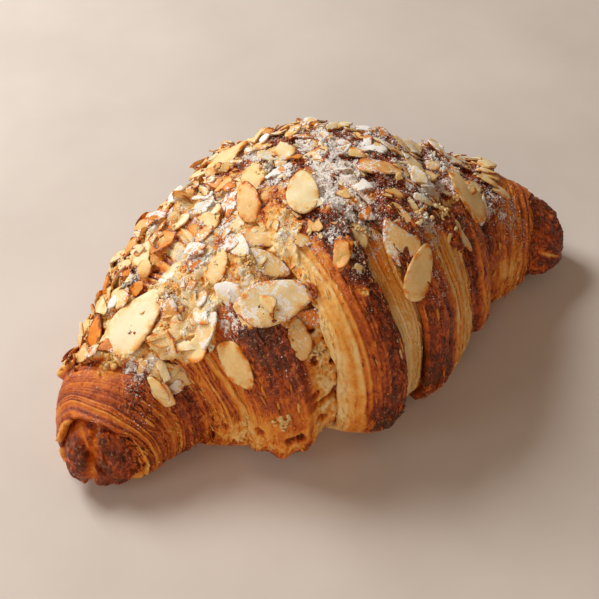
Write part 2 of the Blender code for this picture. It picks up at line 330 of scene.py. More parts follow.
@dataclass(frozen=True)
class Roll:
    """The smooth form of the croissant and the steps of its wraps, in millimetres."""

    centre_line: Rows = (
        (-78.5, -31.0), (-76.0, -23.5), (-67.5, -13.5), (-46.5, -5.0), (-12.5, -2.0),
        (27.5, 2.0), (56.5, 2.0), (75.0, -6.0), (83.0, -16.5),
    )
    first: float = 5.0
    girth: Rows = (
        (5, 9.2, 17.0), (9, 11.2, 20.0), (20, 15.2, 26.0), (32, 20.0, 31.5),
        (46, 28.8, 39.5), (66, 40.0, 51.5), (86, 46.0, 59.0), (107, 45.5, 60.5),
        (128, 38.0, 54.0), (146, 27.0, 43.5), (161, 20.0, 33.5), (172, 14.8, 27.0),
        (181, 11.0, 22.0), (190, 8.5, 18.0),
    )
    tip_rise: Span = (1.8, 3.8)
    tip_rise_length: float = 22.0
    waist: float = 0.4
    upper_roundness: float = 2.15
    lower_roundness: float = 3.2
    sink: float = 0.7
    left_cap: float = 7.0
    right_cap: float = 8.0
    wraps: Rows = (
        (5, -0.6), (9.0, -1.2), (10.3, 0.9), (17, 1.4), (24, 1.6), (33, 1.0), (36, -1.0), (38, -1.3),
        (39.5, 0.5), (47, 1.3), (56, 2.3), (62, 2.7), (69, 2.1), (72.5, -1.0), (76, -2.6),
        (77.5, -0.6), (80, 1.4), (84, 3.0), (88, 3.6), (92, 2.8), (94, 0.0), (100, -1.4),
        (101.8, 1.8), (107, 2.4), (112.5, 1.8), (120, 0.9), (126.5, 0.0), (128, -1.9),
        (133, -1.9), (134.4, 0.2), (139, 0.8), (143, -0.4), (144.5, -1.5), (149, -1.3),
        (152, 0.3), (160, 0.9), (168, 0.7), (175.2, 0.5), (176.6, -1.1), (187, -0.4),
    )
    lean: Rows = (
        (5, 0.0), (10, -3.8), (24, 0.4), (38, 4.2), (60, 2.6), (88, 0.0), (120, -2.9),
        (148, -4.6), (162, 0.2), (175.5, 4.4), (186, 0.0),
    )
    lean_stops_at: float = -0.6
    lean_turns_at: float = 45.0
    line_points: int = 1201
    wrap_fade: Span = (64.0, 86.0)
    wrap_left_over: float = 0.4
    clefts: Rows = ((5.0, 10.3, 121.0, 2.6), (179.0, 188.0, 35.0, 0.8))
    cleft_spread: float = 12.0
    topping_lines: Limits = (24.0, 40.0, 150.0, 168.0)
    topping_edge: float = 50.0
    topping_swing: float = 9.0
    topping_fade: float = 8.0
    topping_back: float = 158.0
    topping_thickness: float = 1.3
    topping_lumps: float = 1.5
    lump_size: float = 6.5
    crust_waves: float = 0.8
    crust_wave_size: float = 13.0
    hem_lines: Limits = (42.0, 52.0, 72.0, 78.0)
    hem_out: float = 2.0
    hem_angle: float = -18.0
    hem_spread: float = 14.0
    foot_line: float = 88.0
    foot_half_width: float = 5.0
    foot_out: float = 1.6

    def measured_line(self) -> tuple[Array, Array, Array]:
        """The centre line as close points.

        Returns:
            Length run at each point, the points, and the heading at each.
        """
        corners = np.array(self.centre_line)
        chords = np.hypot(*np.diff(corners, axis=0).T)
        keys = np.concatenate([[0.0], np.cumsum(chords)])
        even = np.linspace(0.0, keys[-1], self.line_points)
        points = through_rows(np.column_stack([keys, corners]), even)
        steps = np.hypot(*np.diff(points, axis=0).T)
        run = np.concatenate([[0.0], np.cumsum(steps)])
        heading = np.gradient(points, run, axis=0)
        return run, points, heading / np.hypot(*heading.T)[:, None]

    def last(self) -> float:
        """Line number of the right tip."""
        return self.first + float(self.measured_line()[0][-1])

    def leaned(self, line: Array, angle: Array) -> Array:
        """Station that a wrap line passes at an angle, because its edge leans.

        Args:
            line: wrap line.
            angle: degrees round the roll.

        Returns:
            Length along the centre line: the line, moved by the cosine of the angle.
        """
        cosine = np.maximum(np.cos(np.radians(angle)), self.lean_stops_at)
        turns_at = math.cos(math.radians(self.lean_turns_at))
        return line + through_rows(self.lean, line)[..., 0] * (cosine - turns_at)

    def envelope(self, station: Array, angle: Array) -> Array:
        """Smooth closed form: a superellipse cross-section carried along the centre line.

        Args:
            station: length along the centre line.
            angle: degrees round the roll.

        Returns:
            Points of the envelope.
        """
        run, line, ways = self.measured_line()
        last = self.first + run[-1]
        x, y = (np.interp(station - self.first, run, line[:, axis]) for axis in (0, 1))
        along_x, along_y = (np.interp(station - self.first, run, ways[:, axis]) for axis in (0, 1))
        half_width, height = np.moveaxis(through_rows(self.girth, station), -1, 0)
        ahead = np.clip((station - self.first) / self.left_cap, 0.0, 1.0)
        left = np.clip((last - station) / self.right_cap, 0.0, 1.0)
        cap = np.sqrt((1.0 - (1.0 - ahead) ** 2) * (1.0 - (1.0 - left) ** 2))
        turn = np.radians(angle)
        power = np.where(np.sin(turn) < 0.0, self.lower_roundness, self.upper_roundness)
        across = -np.sign(np.cos(turn)) * np.abs(np.cos(turn)) ** (2.0 / power)
        up = np.sign(np.sin(turn)) * np.abs(np.sin(turn)) ** (2.0 / power)
        rise = self.tip_rise[0] * (1.0 - smooth_step(0.0, self.tip_rise_length, station - self.first))
        rise = rise + self.tip_rise[1] * (1.0 - smooth_step(0.0, self.tip_rise_length, last - station))
        waist = self.waist * height + 0.5 * rise
        reach = np.where(up < 0.0, waist - rise, height - waist)
        offset = half_width * cap * across
        return np.stack(
            [x - along_y * offset, y + along_x * offset, waist + cap * reach * up], axis=-1
        )

    def outward(self, station: Array, angle: Array) -> Array:
        """Direction straight out of the envelope: the cross product of its two slopes."""
        small = 0.05
        inner = np.clip(station, self.first + 0.5, self.last() - 0.5)
        along = self.envelope(inner + small, angle) - self.envelope(inner - small, angle)
        around = self.envelope(inner, angle + small) - self.envelope(inner, angle - small)
        return unit(np.cross(along, around))

    def cover(self, line: Array, angle: Array) -> Array:
        """1 under the topping and 0 clear of it, with a wandering lower edge."""
        wander = np.sin(line / 7.3) + 0.6 * np.sin(line / 3.1 + 1.0)
        edge = self.topping_edge + self.topping_swing * wander
        front = smooth_step(edge, edge + self.topping_fade, angle)
        back = 1.0 - smooth_step(self.topping_back, self.topping_back + self.topping_fade, angle)
        return plateau(self.topping_lines, line) * front * back

    def steps(self, line: Array, angle: Array, keep: Span) -> Array:
        """Lift of the wraps off the envelope.

        Args:
            line: wrap line.
            angle: degrees round the roll.
            keep: first and last line whose rows count; the profile runs on level past them.

        Returns:
            Lift in millimetres, weaker under the topping.
        """
        keys, levels = np.array([row for row in self.wraps if keep[0] <= row[0] <= keep[1]]).T
        sunk = smooth_step(*self.wrap_fade, angle) * plateau(self.topping_lines, line)
        fade = 1.0 - (1.0 - self.wrap_left_over) * sunk
        return np.interp(line, keys, levels) * fade

    def swell(self, line: Array, angle: Array, points: Array) -> Array:
        """Unevenness of the crust: waves, the torn hem, the middle wrap's foot and the clefts.

        Args:
            line: wrap line.
            angle: degrees round the roll.
            points: the envelope there.

        Returns:
            Lift in millimetres.
        """
        low = np.exp(-((turned_from(angle, self.hem_angle) / self.hem_spread) ** 2))
        ragged = 1.0 + 0.7 * np.sin(line / 1.9) * np.sin(line / 4.3)
        total = self.crust_waves * grain(points, self.crust_wave_size, 8.0)
        total += self.hem_out * plateau(self.hem_lines, line) * ragged * low
        total += self.foot_out * low * np.exp(-(((line - self.foot_line) / self.foot_half_width) ** 2))
        for start, end, middle, depth in self.clefts:
            along = plateau((start - 6.0, start, end - 3.0, end), line)
            spread = np.exp(-((turned_from(angle, middle) / self.cleft_spread) ** 2))
            total -= depth * along * spread
        return total


# ----- Crust: the fine relief and the baking on top of the form -----

@dataclass
class Skin:
    """Points of the finished crust, with what the finishes read from them."""

    points: Array
    bake: Array
    dust: Array
    cream: Array


@dataclass(frozen=True)
class Spots:
    """Bell-shaped marks: line, angle, reach along the roll, reach round it, and strength."""

    rows: Rows

    def at(self, line: Array, angle: Array) -> Array:
        """Sum of the marks at each point.

        Args:
            line: wrap line.
            angle: degrees round the roll.

        Returns:
            The strengths, each faded by a bell over its two reaches in millimetres.
        """
        total = np.zeros(line.shape)
        for middle, turn, reach, round_reach, strength in self.rows:
            arc = np.radians(turned_from(angle, turn)) * MEAN_RADIUS
            total += strength * np.exp(-(((line - middle) / reach) ** 2) - (arc / round_reach) ** 2)
        return total


@dataclass(frozen=True)
class Groove:
    """A crease pressed into one end along a plane."""

    place: Triple
    normal: Triple
    half_width: float
    depth: float
    lines: Limits

    def at(self, line: Array, points: Array) -> Array:
        """1 in the crease's bottom and 0 away from it: a bell over the distance from its plane."""
        off = (points - np.array(self.place)) @ unit(np.array(self.normal))
        return np.exp(-((off / self.half_width) ** 2)) * plateau(self.lines, line)


KNOB_GROOVE = Groove(
    place=(-79.7, -25.0, 20.3),
    normal=(-0.83, 0.55, 0.10),
    half_width=1.25,
    depth=2.3,
    lines=(0.0, 1.0, 10.0, 11.5),
)

SUGAR_SPOTS = Spots((
    (30, 80, 3.5, 4, 1.0), (34, 71, 4, 3, 0.7), (35, 46, 4, 5, 0.35), (47, 122, 4, 4, 0.7),
    (49, 86, 3, 5, 0.7), (58, 56, 2.0, 2.6, 1.1), (56, 68, 5, 6, 0.8), (53, 116, 4, 4, 0.7),
    (60, 97, 5, 3.5, 0.8), (65, 87, 4, 4, 0.7), (70, 98, 3, 5, 0.9), (72, 91, 2.5, 5, 0.9),
    (72, 108, 4, 4, 0.8), (73, 104, 3, 3, 0.6), (74, 51, 2, 2, 1.0), (70, 64, 5, 4, 0.7),
    (73, 20, 2.5, 4, 0.45), (66, 28, 3, 4, 0.25), (81, 75, 4, 3, 0.3), (89, 100, 4, 4, 0.7),
    (90, 118, 5, 5, 0.8), (96, 84, 4, 5, 1.0), (100.5, 88, 5, 5, 0.9), (99, 78, 6, 6, 1.0),
    (106, 92, 6, 5, 1.1), (104, 108, 6, 4, 1.1), (97, 67, 3.5, 5, 0.9), (89, 60, 3, 8, 0.4),
    (112, 102, 6, 4, 1.0), (120, 99, 6, 4, 0.9), (124, 80, 5, 6, 1.2), (122, 72, 5, 4, 0.9),
    (115, 57, 5, 4, 0.9), (108, 36, 4, 5, 0.35), (137, 75, 5, 4, 0.7), (133, 90, 7, 6, 0.6),
    (152, 61, 5, 5, 0.8), (148, 50, 14, 13, 0.30), (122, 42, 9, 11, 0.20), (166, 47, 10, 13, 0.26),
    (110, 38, 7, 9, 0.18), (70, 40, 7, 8, 0.20), (26, 46, 9, 9, 0.22), (166, 70, 7, 9, 0.25),
    (16, 62, 6, 8, 0.2), (156, 80, 6, 6, 0.5), (9, 95, 4, 4, 0.4), (22, 70, 5, 6, 0.25),
    (96, 130, 10, 9, 0.6), (122, 122, 10, 9, 0.6), (70, 128, 9, 8, 0.5), (146, 105, 9, 8, 0.5),
    (46, 104, 4, 3, 0.2),
))

# Baking, darker or paler. The rows at the middle wrap's foot (85, -6 and 88, -18) paint the shade that
# falls low on the front.
TOAST_AND_SHADE_SPOTS = Spots((
    (65, 42, 5, 9, 0.18), (62, 50, 4, 4, 0.4), (52, 116, 3, 4, 0.45), (48, 124, 3, 3, 0.4),
    (84, 90, 2, 3, 0.4), (79, 90, 2, 3, 0.45), (68, 88, 2, 3, 0.35), (128, 90, 4, 3, 0.25),
    (36, 52, 3, 8, 0.12), (84.5, 66, 1.2, 6, -0.25), (7, 121, 4, 2.5, -0.3),
    (183.5, 29, 3.0, 3.5, -0.7), (30, -4, 7, 10, -0.14), (88, 64, 2.5, 6, 0.6), (85, -6, 4, 7, 0.3),
    (88, -18, 5, 5, 0.35), (110, -2, 9, 8, 0.28), (48, -14, 9, 4, 0.14), (97, 62, 5, 12, 0.32),
    (97, 44, 4, 7, 0.16), (25, 66, 6, 7, 0.2), (22, 8, 5, 8, -0.06), (180, 60, 3, 4, -0.2),
    (181, 0, 3, 3, -0.25), (156, 50, 14, 16, 0.08), (138, 40, 5, 12, 0.06), (60, -12, 7, 3, 0.1),
    (45, 4, 3, 4, 0.2), (76, 66, 1.6, 4, 0.35), (61, 117, 5, 1.6, 0.5), (62, 106, 5, 6, -0.5),
    (55, 101, 4, 4, -0.3), (46, 88, 5, 5, -0.1), (30, 100, 6, 6, -0.15), (56, 70, 4, 7, -0.25),
    (78, 75, 4, 10, -0.15), (96, 80, 8, 10, 0.15), (50, -2, 9, 9, -0.25), (62, 2, 7, 6, -0.22),
    (72, 0, 5, 6, -0.2), (105, 52, 3, 6, 0.1), (160, 10, 9, 7, -0.22), (120, 2, 9, 7, -0.1),
    (137, 4, 7, 6, -0.12), (88, 92, 3, 4, 0.15), (110, 84, 6, 6, 0.15), (120, 66, 5, 6, 0.1),
    (26, 20, 6, 9, -0.06),
))

CRUMB_SPOTS = Spots((
    (45, -6, 5, 6, 1.0), (52, -9, 5, 5.5, 1.0), (60, -12, 5, 4.5, 0.9), (67, -11, 4, 5, 0.8),
    (74, -6, 3, 7, 0.9), (30, 98, 4, 4, 0.6), (46, 118, 3, 3, 0.5),
))

FLAKY_SPOTS = Spots((
    (60, 106, 7, 7, 1.4), (55, 101, 4, 5, 0.8), (30, -4, 6, 9, 0.6), (52, 22, 8, 20, -0.15),
))

BARE_SPOTS = Spots((
    (62, 106, 6, 7, 1.2), (55, 101, 4, 4, 1.0), (82, 60, 3, 8, 1.2), (96, 60, 3, 6, 0.8),
    (117, 52, 4, 5, 0.6), (39, 60, 4, 5, 0.6), (150, 50, 8, 5, 0.6), (85, 52, 3, 9, 0.8),
))


@dataclass(frozen=True)
class Toning:
    """How strongly each kind of relief darkens the crust, or lightens it where it is less.
    Some of it is painted shade: the low part of each sheet and the step at its edge,
    the torn crumb low on the front and in its holes, and the hollows of the cream are darker.
    """

    sheet: float = 0.34
    fine_sheet: float = 0.18
    # The low part of each sheet and the step at its edge are darker: painted shade.
    saw: float = 0.30
    seam: float = 0.16
    plate: float = 0.22
    streak: float = 0.13
    rough: float = 0.07
    blister: float = 0.05
    crease: float = 0.18
    groove: float = 0.36
    torn: float = 0.14
    # The torn crumb is darker low on the front and in its holes: painted shade.
    torn_low_shade: float = 0.12
    torn_hole_shade: float = 0.45
    torn_rough: float = 0.18
    # The third number of each cream row darkens the hollows between lumps: painted shade.
    golden_cream_and_hollow_shade: Triple = (0.24, 0.28, 0.72)
    scorched_cream_and_hollow_shade: Triple = (0.78, 0.30, 0.40)

    def cream(self, levels: Triple, pick: Array, height: Array) -> Array:
        """Tone of the cream: a level, more by the lump's random number and less by its height, so the
        hollows are darker: painted shade.
        """
        return levels[0] + levels[1] * (pick - 0.5) - levels[2] * height


@dataclass(frozen=True)
class Crust:
    """The baked surface: sheets of dough, brittle plates, torn crumb and almond cream."""

    roll: Roll
    toning: Toning = Toning()
    sugar: Spots = SUGAR_SPOTS
    toast_and_shade: Spots = TOAST_AND_SHADE_SPOTS
    crumb: Spots = CRUMB_SPOTS
    bare: Spots = BARE_SPOTS
    flaky: Spots = FLAKY_SPOTS
    groove: Groove = KNOB_GROOVE
    sheet_thickness: float = 1.9
    sheet_depth: float = 0.55
    fine_sheet_thickness: float = 1.0
    fine_sheet_depth: float = 0.22
    plate_depth: float = 0.42
    blister_depth: float = 0.50
    wrinkle_depth: float = 1.0
    knot_height: float = 0.9
    cream_depth: float = 1.4
    crumb_depth: float = 1.6
    sheet_peak: float = 0.72
    dust_lines: Limits = (20.0, 34.0, 158.0, 172.0)
    large_hole: float = 3.6
    small_hole: float = 1.2
    large_lump: float = 3.6
    small_lump: float = 1.3
    rough_size: float = 2.4
    blister_size: float = 1.5
    streak_size: float = 1.0
    plate_size: float = 1.15
    crease_size: float = 4.2
    knot_size: float = 3.6

    def layers(self, line: Array, points: Array, thickness: float, seed: float) -> tuple[Array, Array]:
        """Edges of stacked sheets of dough, seen across the wrap lines.

        Args:
            line: wrap line.
            points: the envelope there.
            thickness: mean thickness of a sheet in millimetres.
            seed: number that picks the pattern.

        Returns:
            A saw from 0 to 1 that climbs over each sheet and drops at its edge, and a
            random number for each sheet. Slow noise bends the sheets, so they wander.
        """
        bent = line + 1.5 * grain(points, 17.0, seed) + 0.5 * grain(points, 5.0, seed + 2.0)
        uneven = bent / thickness + 0.3 * np.sin(bent * 1.3) + 0.3 * np.sin(bent * 0.61 + seed)
        sheet = np.floor(uneven)
        share = uneven - sheet
        peak = self.sheet_peak
        saw = np.where(share < peak, share / peak, (1.0 - share) / (1.0 - peak))
        pick = hashed(np.stack([sheet, sheet * 0.0 + seed, sheet * 0.0], axis=-1), seed)
        return saw, pick

    def cream(self, line: Array, angle: Array, points: Array) -> Array:
        """Cover of almond cream with a crisp, ragged edge and some bare places."""
        level = self.roll.cover(line, angle) - self.bare.at(line, angle)
        return smooth_step(0.34, 0.52, level + 0.3 * fractal(points, 4.5, 12.0))

    def scorched(self, line: Array, points: Array) -> Array:
        """1 where the cream is baked dark and 0 where it is golden, darker to the right."""
        bias = -0.42 + 0.95 * smooth_step(74.0, 100.0, line)
        return smooth_step(-0.18, 0.18, fractal(points, 7.5, 51.0) + bias)

    def dust(self, line: Array, angle: Array, points: Array, peak: Array | float) -> Array:
        """How much icing sugar lies at each point.

        Args:
            line: wrap line.
            angle: degrees round the roll.
            points: the envelope there.
            peak: 1 on the tops of the relief and 0 in its hollows.

        Returns:
            0 for none up to 1 for a thick patch.
        """
        up = smooth_step(40.0, 66.0, angle) * (1.0 - smooth_step(130.0, 165.0, angle))
        level = self.sugar.at(line, angle) + 0.30 * up * plateau(self.dust_lines, line)
        broken = 0.60 + 0.75 * fractal(points, 2.6, 31.0)
        return np.clip(level * broken * (0.45 + 0.95 * peak), 0.0, 1.0)

    def pits(self, points: Array, torn: Array) -> Array:
        """Bubbles of the torn crumb: two sizes of round hole, worked out only where needed."""
        depth = np.zeros(torn.shape)
        need = torn > 0.02
        if need.any():
            large, owner = cells(points[need], self.large_hole, 5.0)
            small, _ = cells(points[need], self.small_hole, 6.0)
            open_hole = smooth_step(0.35, 0.6, owner)
            depth[need] = 1.4 * open_hole * smooth_step(0.50, 0.28, large)
            depth[need] += 0.35 * smooth_step(0.6, 0.2, small)
        return depth

    def lumps(self, points: Array, rough: Array, cover: Array) -> tuple[Array, Array]:
        """Craggy lumps of almond cream: small lumps on larger ones.

        Args:
            points: the envelope.
            rough: noise that pushes the lumps out of line.
            cover: cover of the cream; nothing is worked out where there is none.

        Returns:
            Height from about -0.6 to 0.6, and a random number for each lump.
        """
        height = np.zeros(cover.shape)
        pick = np.zeros(cover.shape)
        need = cover > 0.01
        if need.any():
            moved = points[need] + 0.8 * rough[need][..., None]
            large, owner = cells(moved, self.large_lump, 41.0)
            small, small_owner = cells(moved, self.small_lump, 43.0)
            height[need] = 0.95 * (0.55 - large) + 0.34 * (0.5 - small) + 0.35 * (owner - 0.5)
            pick[need] = 0.6 * owner + 0.4 * small_owner
        return height, pick

    def skin(
        self,
        line: Array,
        angle: Array,
        keep: Span,
        tones: Rows,
        sunk: Array | float = 0.0,
        wrinkled: float = 0.0,
    ) -> Skin:
        """The finished crust at the given lines and angles.

        Args:
            line: wrap line.
            angle: degrees round the roll.
            keep: the wrap's own stretch of the profile.
            tones: rows of line, baking, strength of the sheets and share of torn crumb.
            sunk: depth below the surface in millimetres, for edges that are tucked in.
            wrinkled: strength of creases along the roll.

        Returns:
            The points with their baking, painted shade and sugar. The lift off the envelope is the
            wrap's step, plus the saw of the sheets, the brittle plates and blisters,
            plus the cream's lumps, less the creases and the holes of the torn crumb.
        """
        station = self.roll.leaned(line, angle)
        base = self.roll.envelope(station, angle)
        out = self.roll.outward(station, angle)
        bake, sheets, torn = np.moveaxis(through_linear(tones, line), -1, 0)
        # The spots add baking, and painted shade on the low front at the middle wrap's foot.
        bake = bake + self.toast_and_shade.at(line, angle)
        sheets = sheets + self.flaky.at(line, angle)
        torn = np.clip(torn + self.crumb.at(line, angle), 0.0, 1.0)
        cover = self.cream(line, angle, base)
        bare = 1.0 - cover
        hard = smooth_step(0.45, 0.8, bake) * (1.0 - torn)
        turn = np.radians(angle)
        ring = np.stack([np.cos(turn), np.sin(turn)], axis=-1) * MEAN_RADIUS
        streaky = base if wrinkled else np.concatenate([ring / 1.4, line[..., None]], axis=-1)
        coarse, pick = self.layers(line, base, self.sheet_thickness, 4.0)
        fine, fine_pick = self.layers(line, base, self.fine_sheet_thickness, 19.0)
        rough = fractal(base, self.rough_size, 21.0)
        blister = fractal(base, self.blister_size, 25.0, octaves=2)
        streak = fractal(streaky, self.streak_size, 27.0)
        edge, plate = cells(streaky + 0.35 * rough[..., None], self.plate_size, 29.0)
        height, chunk_pick = self.lumps(base, rough, cover)
        lengthwise = base * CREASE_WAY + 0.5 * rough[..., None]
        crease = wrinkled * smooth_step(0.20, 0.0, np.abs(grain(lengthwise, self.crease_size, 71.0)))
        lift = self.roll.steps(line, angle, keep) + self.roll.swell(line, angle, base)
        lift = lift + bare * sheets * self.sheet_depth * (coarse**1.5 - 0.5)
        lift = lift + bare * sheets * self.fine_sheet_depth * (fine - 0.5)
        lift = lift + bare * hard * self.plate_depth * (plate - 0.5 + 0.35 * (0.5 - edge))
        lift = lift + bare * self.blister_depth * (0.3 + 0.7 * hard) * (0.5 * rough + 0.4 * blister)
        lift = lift - self.wrinkle_depth * crease * (1.0 - 0.3 * rough)
        lift = lift + wrinkled * self.knot_height * fractal(base, self.knot_size, 73.0)
        groove = self.groove.at(line, base)
        lift = lift - self.groove.depth * groove
        lumpy = self.roll.topping_lumps * grain(base, self.roll.lump_size, 3.0)
        thick = self.roll.topping_thickness + lumpy
        lift = lift + cover * (thick + self.cream_depth * (height + 0.25 * rough) - 0.2)
        holes = self.pits(base, torn)
        lift = lift - bare * torn * self.crumb_depth * (holes - 0.2 + 0.3 * rough)
        points = base + out * (lift - sunk)[..., None]
        points[..., 2] = np.maximum(points[..., 2] - self.roll.sink, 0.0)
        # Painted shade: the low part of each sheet and the step at its edge are darker.
        seam = smooth_step(0.2, 0.0, coarse)
        by = self.toning
        layered_tone_and_shade = by.sheet * (pick - 0.5) + by.fine_sheet * (fine_pick - 0.5)
        layered_tone_and_shade = layered_tone_and_shade + by.saw * (0.45 - coarse) + by.seam * seam
        tone = bake + sheets * layered_tone_and_shade
        tone = tone + hard * (by.plate * (0.5 - plate) + by.streak * streak)
        tone = tone + by.rough * rough + by.blister * blister
        tone = tone - by.crease * crease - by.groove * groove
        # Painted shade: the torn crumb is darker low on the front and in its holes.
        low = smooth_step(8.0, -16.0, angle)
        crumb_tone_and_shade = by.torn + by.torn_low_shade * low + by.torn_hole_shade * holes + by.torn_rough * (rough + streak)
        tone = tone + torn * (crumb_tone_and_shade - tone)
        scorched = self.scorched(line, base)
        # Painted shade: the cream is darker in the hollows between its lumps.
        golden_tone_and_shade = by.cream(by.golden_cream_and_hollow_shade, chunk_pick, height)
        scorched_tone_and_shade = by.cream(by.scorched_cream_and_hollow_shade, chunk_pick, height)
        cream = golden_tone_and_shade + scorched * (scorched_tone_and_shade - golden_tone_and_shade) + self.toast_and_shade.at(line, angle)
        tone = np.clip(bare * tone + cover * cream, 0.02, 1.0)
        peak = np.clip(0.5 + cover * 1.2 * height + bare * 0.5 * streak, 0.0, 1.0)
        return Skin(points, tone, self.dust(line, angle, base, peak), cover)


def through_linear(rows: Rows, value: Array) -> Array:
    """Straight lines through rows of a key and its values, level past both ends."""
    table = np.array(rows, dtype=float)
    return np.stack(
        [np.interp(value, table[:, 0], table[:, column]) for column in range(1, table.shape[1])],
        axis=-1,
    )


class Edge(Enum):
    """How a wrap ends."""

    LIP = "lip"        # it lies over its neighbour, with a rounded edge that turns in
    UNDER = "under"    # it runs on under its neighbour
    POLE = "pole"      # it closes to the tip


@dataclass(frozen=True)
class Wrap:
    """One wrap of dough, from one edge to the other."""

    name: str
    start: float
    end: float
    left: Edge
    right: Edge
    tones: Rows
    ring_step: float = 0.28
    columns: int = 540
    under_columns: int = 26
    run_under: float = 3.6
    wobble: float = 0.75
    wrinkled: float = 0.0
    upper_start: float = -34.0
    upper_end: float = 214.0
    roll_in: Rows = ((1.6, 3.4), (0.35, 2.2), (-0.05, 1.15), (-0.12, 0.5), (-0.06, 0.14))
    # rings that tuck a lip in: distance back from the edge, and depth

    def keep(self) -> Span:
        """First and last line of the wrap's own stretch of the profile."""
        return self.start - KEEP_PAST, self.end + KEEP_PAST

    def angles(self) -> Array:
        """Angles of a ring: close together above the tray and far apart underneath."""
        upper = np.linspace(self.upper_start, self.upper_end, self.columns)
        lower = np.linspace(self.upper_end, self.upper_start + 360.0, self.under_columns + 2)
        return np.concatenate([upper, lower[1:-1]])

    def ring_table(self) -> tuple[Array, Array]:
        """Line and sunk depth of each ring, from the left end to the right end.

        Returns:
            The lines and the depths. A lip has five more rings, which roll its edge over
            and tuck it in. An edge that runs under sinks with the square of the distance.
        """
        count = int((self.end - self.start) / self.ring_step)
        lines = np.linspace(self.start, self.end, count)
        depths = np.zeros(count)
        roll_in = np.array(self.roll_in)
        under = np.linspace(self.run_under, 0.0, 7)[:-1]
        ends = []
        for edge, way, at in ((self.left, -1.0, self.start), (self.right, 1.0, self.end)):
            if edge is Edge.LIP:
                ends.append((at - way * roll_in[:, 0], roll_in[:, 1]))
            elif edge is Edge.UNDER:
                ends.append((at + way * under, 0.5 + 2.0 * (under / self.run_under) ** 2))
            else:
                ends.append((np.zeros(0), np.zeros(0)))
        left, right = ends
        return tuple(
            np.concatenate([left[i], row, right[i][::-1]]) for i, row in enumerate((lines, depths))
        )

    def edge_wobble(self, line: Array, angle: Array) -> Array:
        """Raggedness of the lips: noise round the roll that dies out away from the edge."""
        turn = np.radians(angle)
        round_way = np.stack([np.cos(turn), np.sin(turn), turn * 0.0], axis=-1) * 30.0
        moved = np.zeros(line.shape)
        for edge, at, seed in ((self.left, self.start, 61.0), (self.right, self.end, 67.0)):
            if edge is not Edge.LIP:
                continue
            rag = grain(round_way, 9.0, seed + at) + 0.4 * grain(round_way, 2.2, seed + at + 1.0)
            moved += self.wobble * rag * np.exp(-np.abs(line - at) / 1.8)
        return moved

    def build(self, crust: Crust) -> bpy.types.Object:
        """Make the wrap as one closed piece.

        Args:
            crust: the crust that gives its points.

        Returns:
            The wrap's object.
        """
        lines, depths = self.ring_table()
        line, angle = np.meshgrid(lines, self.angles(), indexing="ij")
        sunk = np.broadcast_to(depths[:, None], line.shape)
        line = line + self.edge_wobble(line, angle)
        skin = crust.skin(line, angle, self.keep(), self.tones, sunk, self.wrinkled)
        poles = np.stack([skin.points[0].mean(axis=0), skin.points[-1].mean(axis=0)])
        values = {"bake": skin.bake, "dust": skin.dust, "cream": skin.cream}
        return closed_tube(skin.points, poles, values).to_object(self.name)


WRAPS = (
    Wrap("left_knob", 5.3, 9.4, Edge.POLE, Edge.UNDER,
         ((5, 0.80, 0.2, 0), (9.4, 0.74, 0.4, 0)), columns=300, ring_step=0.2, wrinkled=0.6),
    Wrap("left_wrap", 10.3, 38.0, Edge.LIP, Edge.UNDER,
         ((10.3, 0.52, 1.0, 0), (16, 0.54, 0.9, 0), (19, 0.58, 0.5, 0), (28, 0.64, 0.45, 0),
          (33, 0.75, 0.35, 0), (38, 0.67, 0.5, 0)), columns=520),
    Wrap("left_shoulder", 39.5, 76.8, Edge.LIP, Edge.UNDER,
         ((39.5, 0.44, 1.0, 0), (50, 0.46, 1.0, 0), (54.5, 0.58, 0.6, 0), (57, 0.71, 0.3, 0),
          (70, 0.73, 0.3, 0), (72, 0.5, 0.2, 0.5), (73.5, 0.2, 0.1, 1.0), (77, 0.16, 0.1, 1.0))),
    Wrap("middle_wrap", 77.5, 92.5, Edge.LIP, Edge.LIP,
         ((77.5, 0.12, 0.35, 0), (79.2, 0.18, 0.5, 0), (80.4, 0.40, 0.8, 0), (81.6, 0.33, 0.8, 0),
          (82.8, 0.50, 0.8, 0), (84.6, 0.62, 0.6, 0), (87.2, 0.73, 0.5, 0), (92.5, 0.77, 0.5, 0))),
    Wrap("right_inner", 92.0, 101.3, Edge.UNDER, Edge.UNDER,
         ((92, 0.08, 0.4, 0), (101, 0.10, 0.5, 0))),
    Wrap("right_shoulder", 101.8, 126.5, Edge.LIP, Edge.LIP,
         ((101.8, 0.72, 0.4, 0), (106, 0.71, 0.4, 0), (111, 0.64, 0.5, 0), (114, 0.45, 0.9, 0),
          (120, 0.33, 1.0, 0), (127, 0.37, 1.0, 0))),
    Wrap("right_wrap", 128.0, 175.2, Edge.UNDER, Edge.LIP,
         ((128, 0.74, 0.4, 0), (133, 0.76, 0.4, 0), (134.4, 0.50, 0.7, 0), (139, 0.52, 0.7, 0),
          (143, 0.62, 0.6, 0), (144.5, 0.77, 0.4, 0), (149, 0.75, 0.4, 0), (152, 0.61, 0.6, 0),
          (162, 0.57, 0.8, 0), (170, 0.58, 0.8, 0), (175.2, 0.53, 0.8, 0)), columns=480),
    Wrap("right_tip", 176.6, 185.8, Edge.UNDER, Edge.POLE,
         ((175, 0.86, 0.3, 0), (180, 0.80, 0.3, 0), (187, 0.84, 0.2, 0)), columns=300,
         ring_step=0.24, wrinkled=0.7),
)


# ----- Thin and small pieces that lie on the crust -----

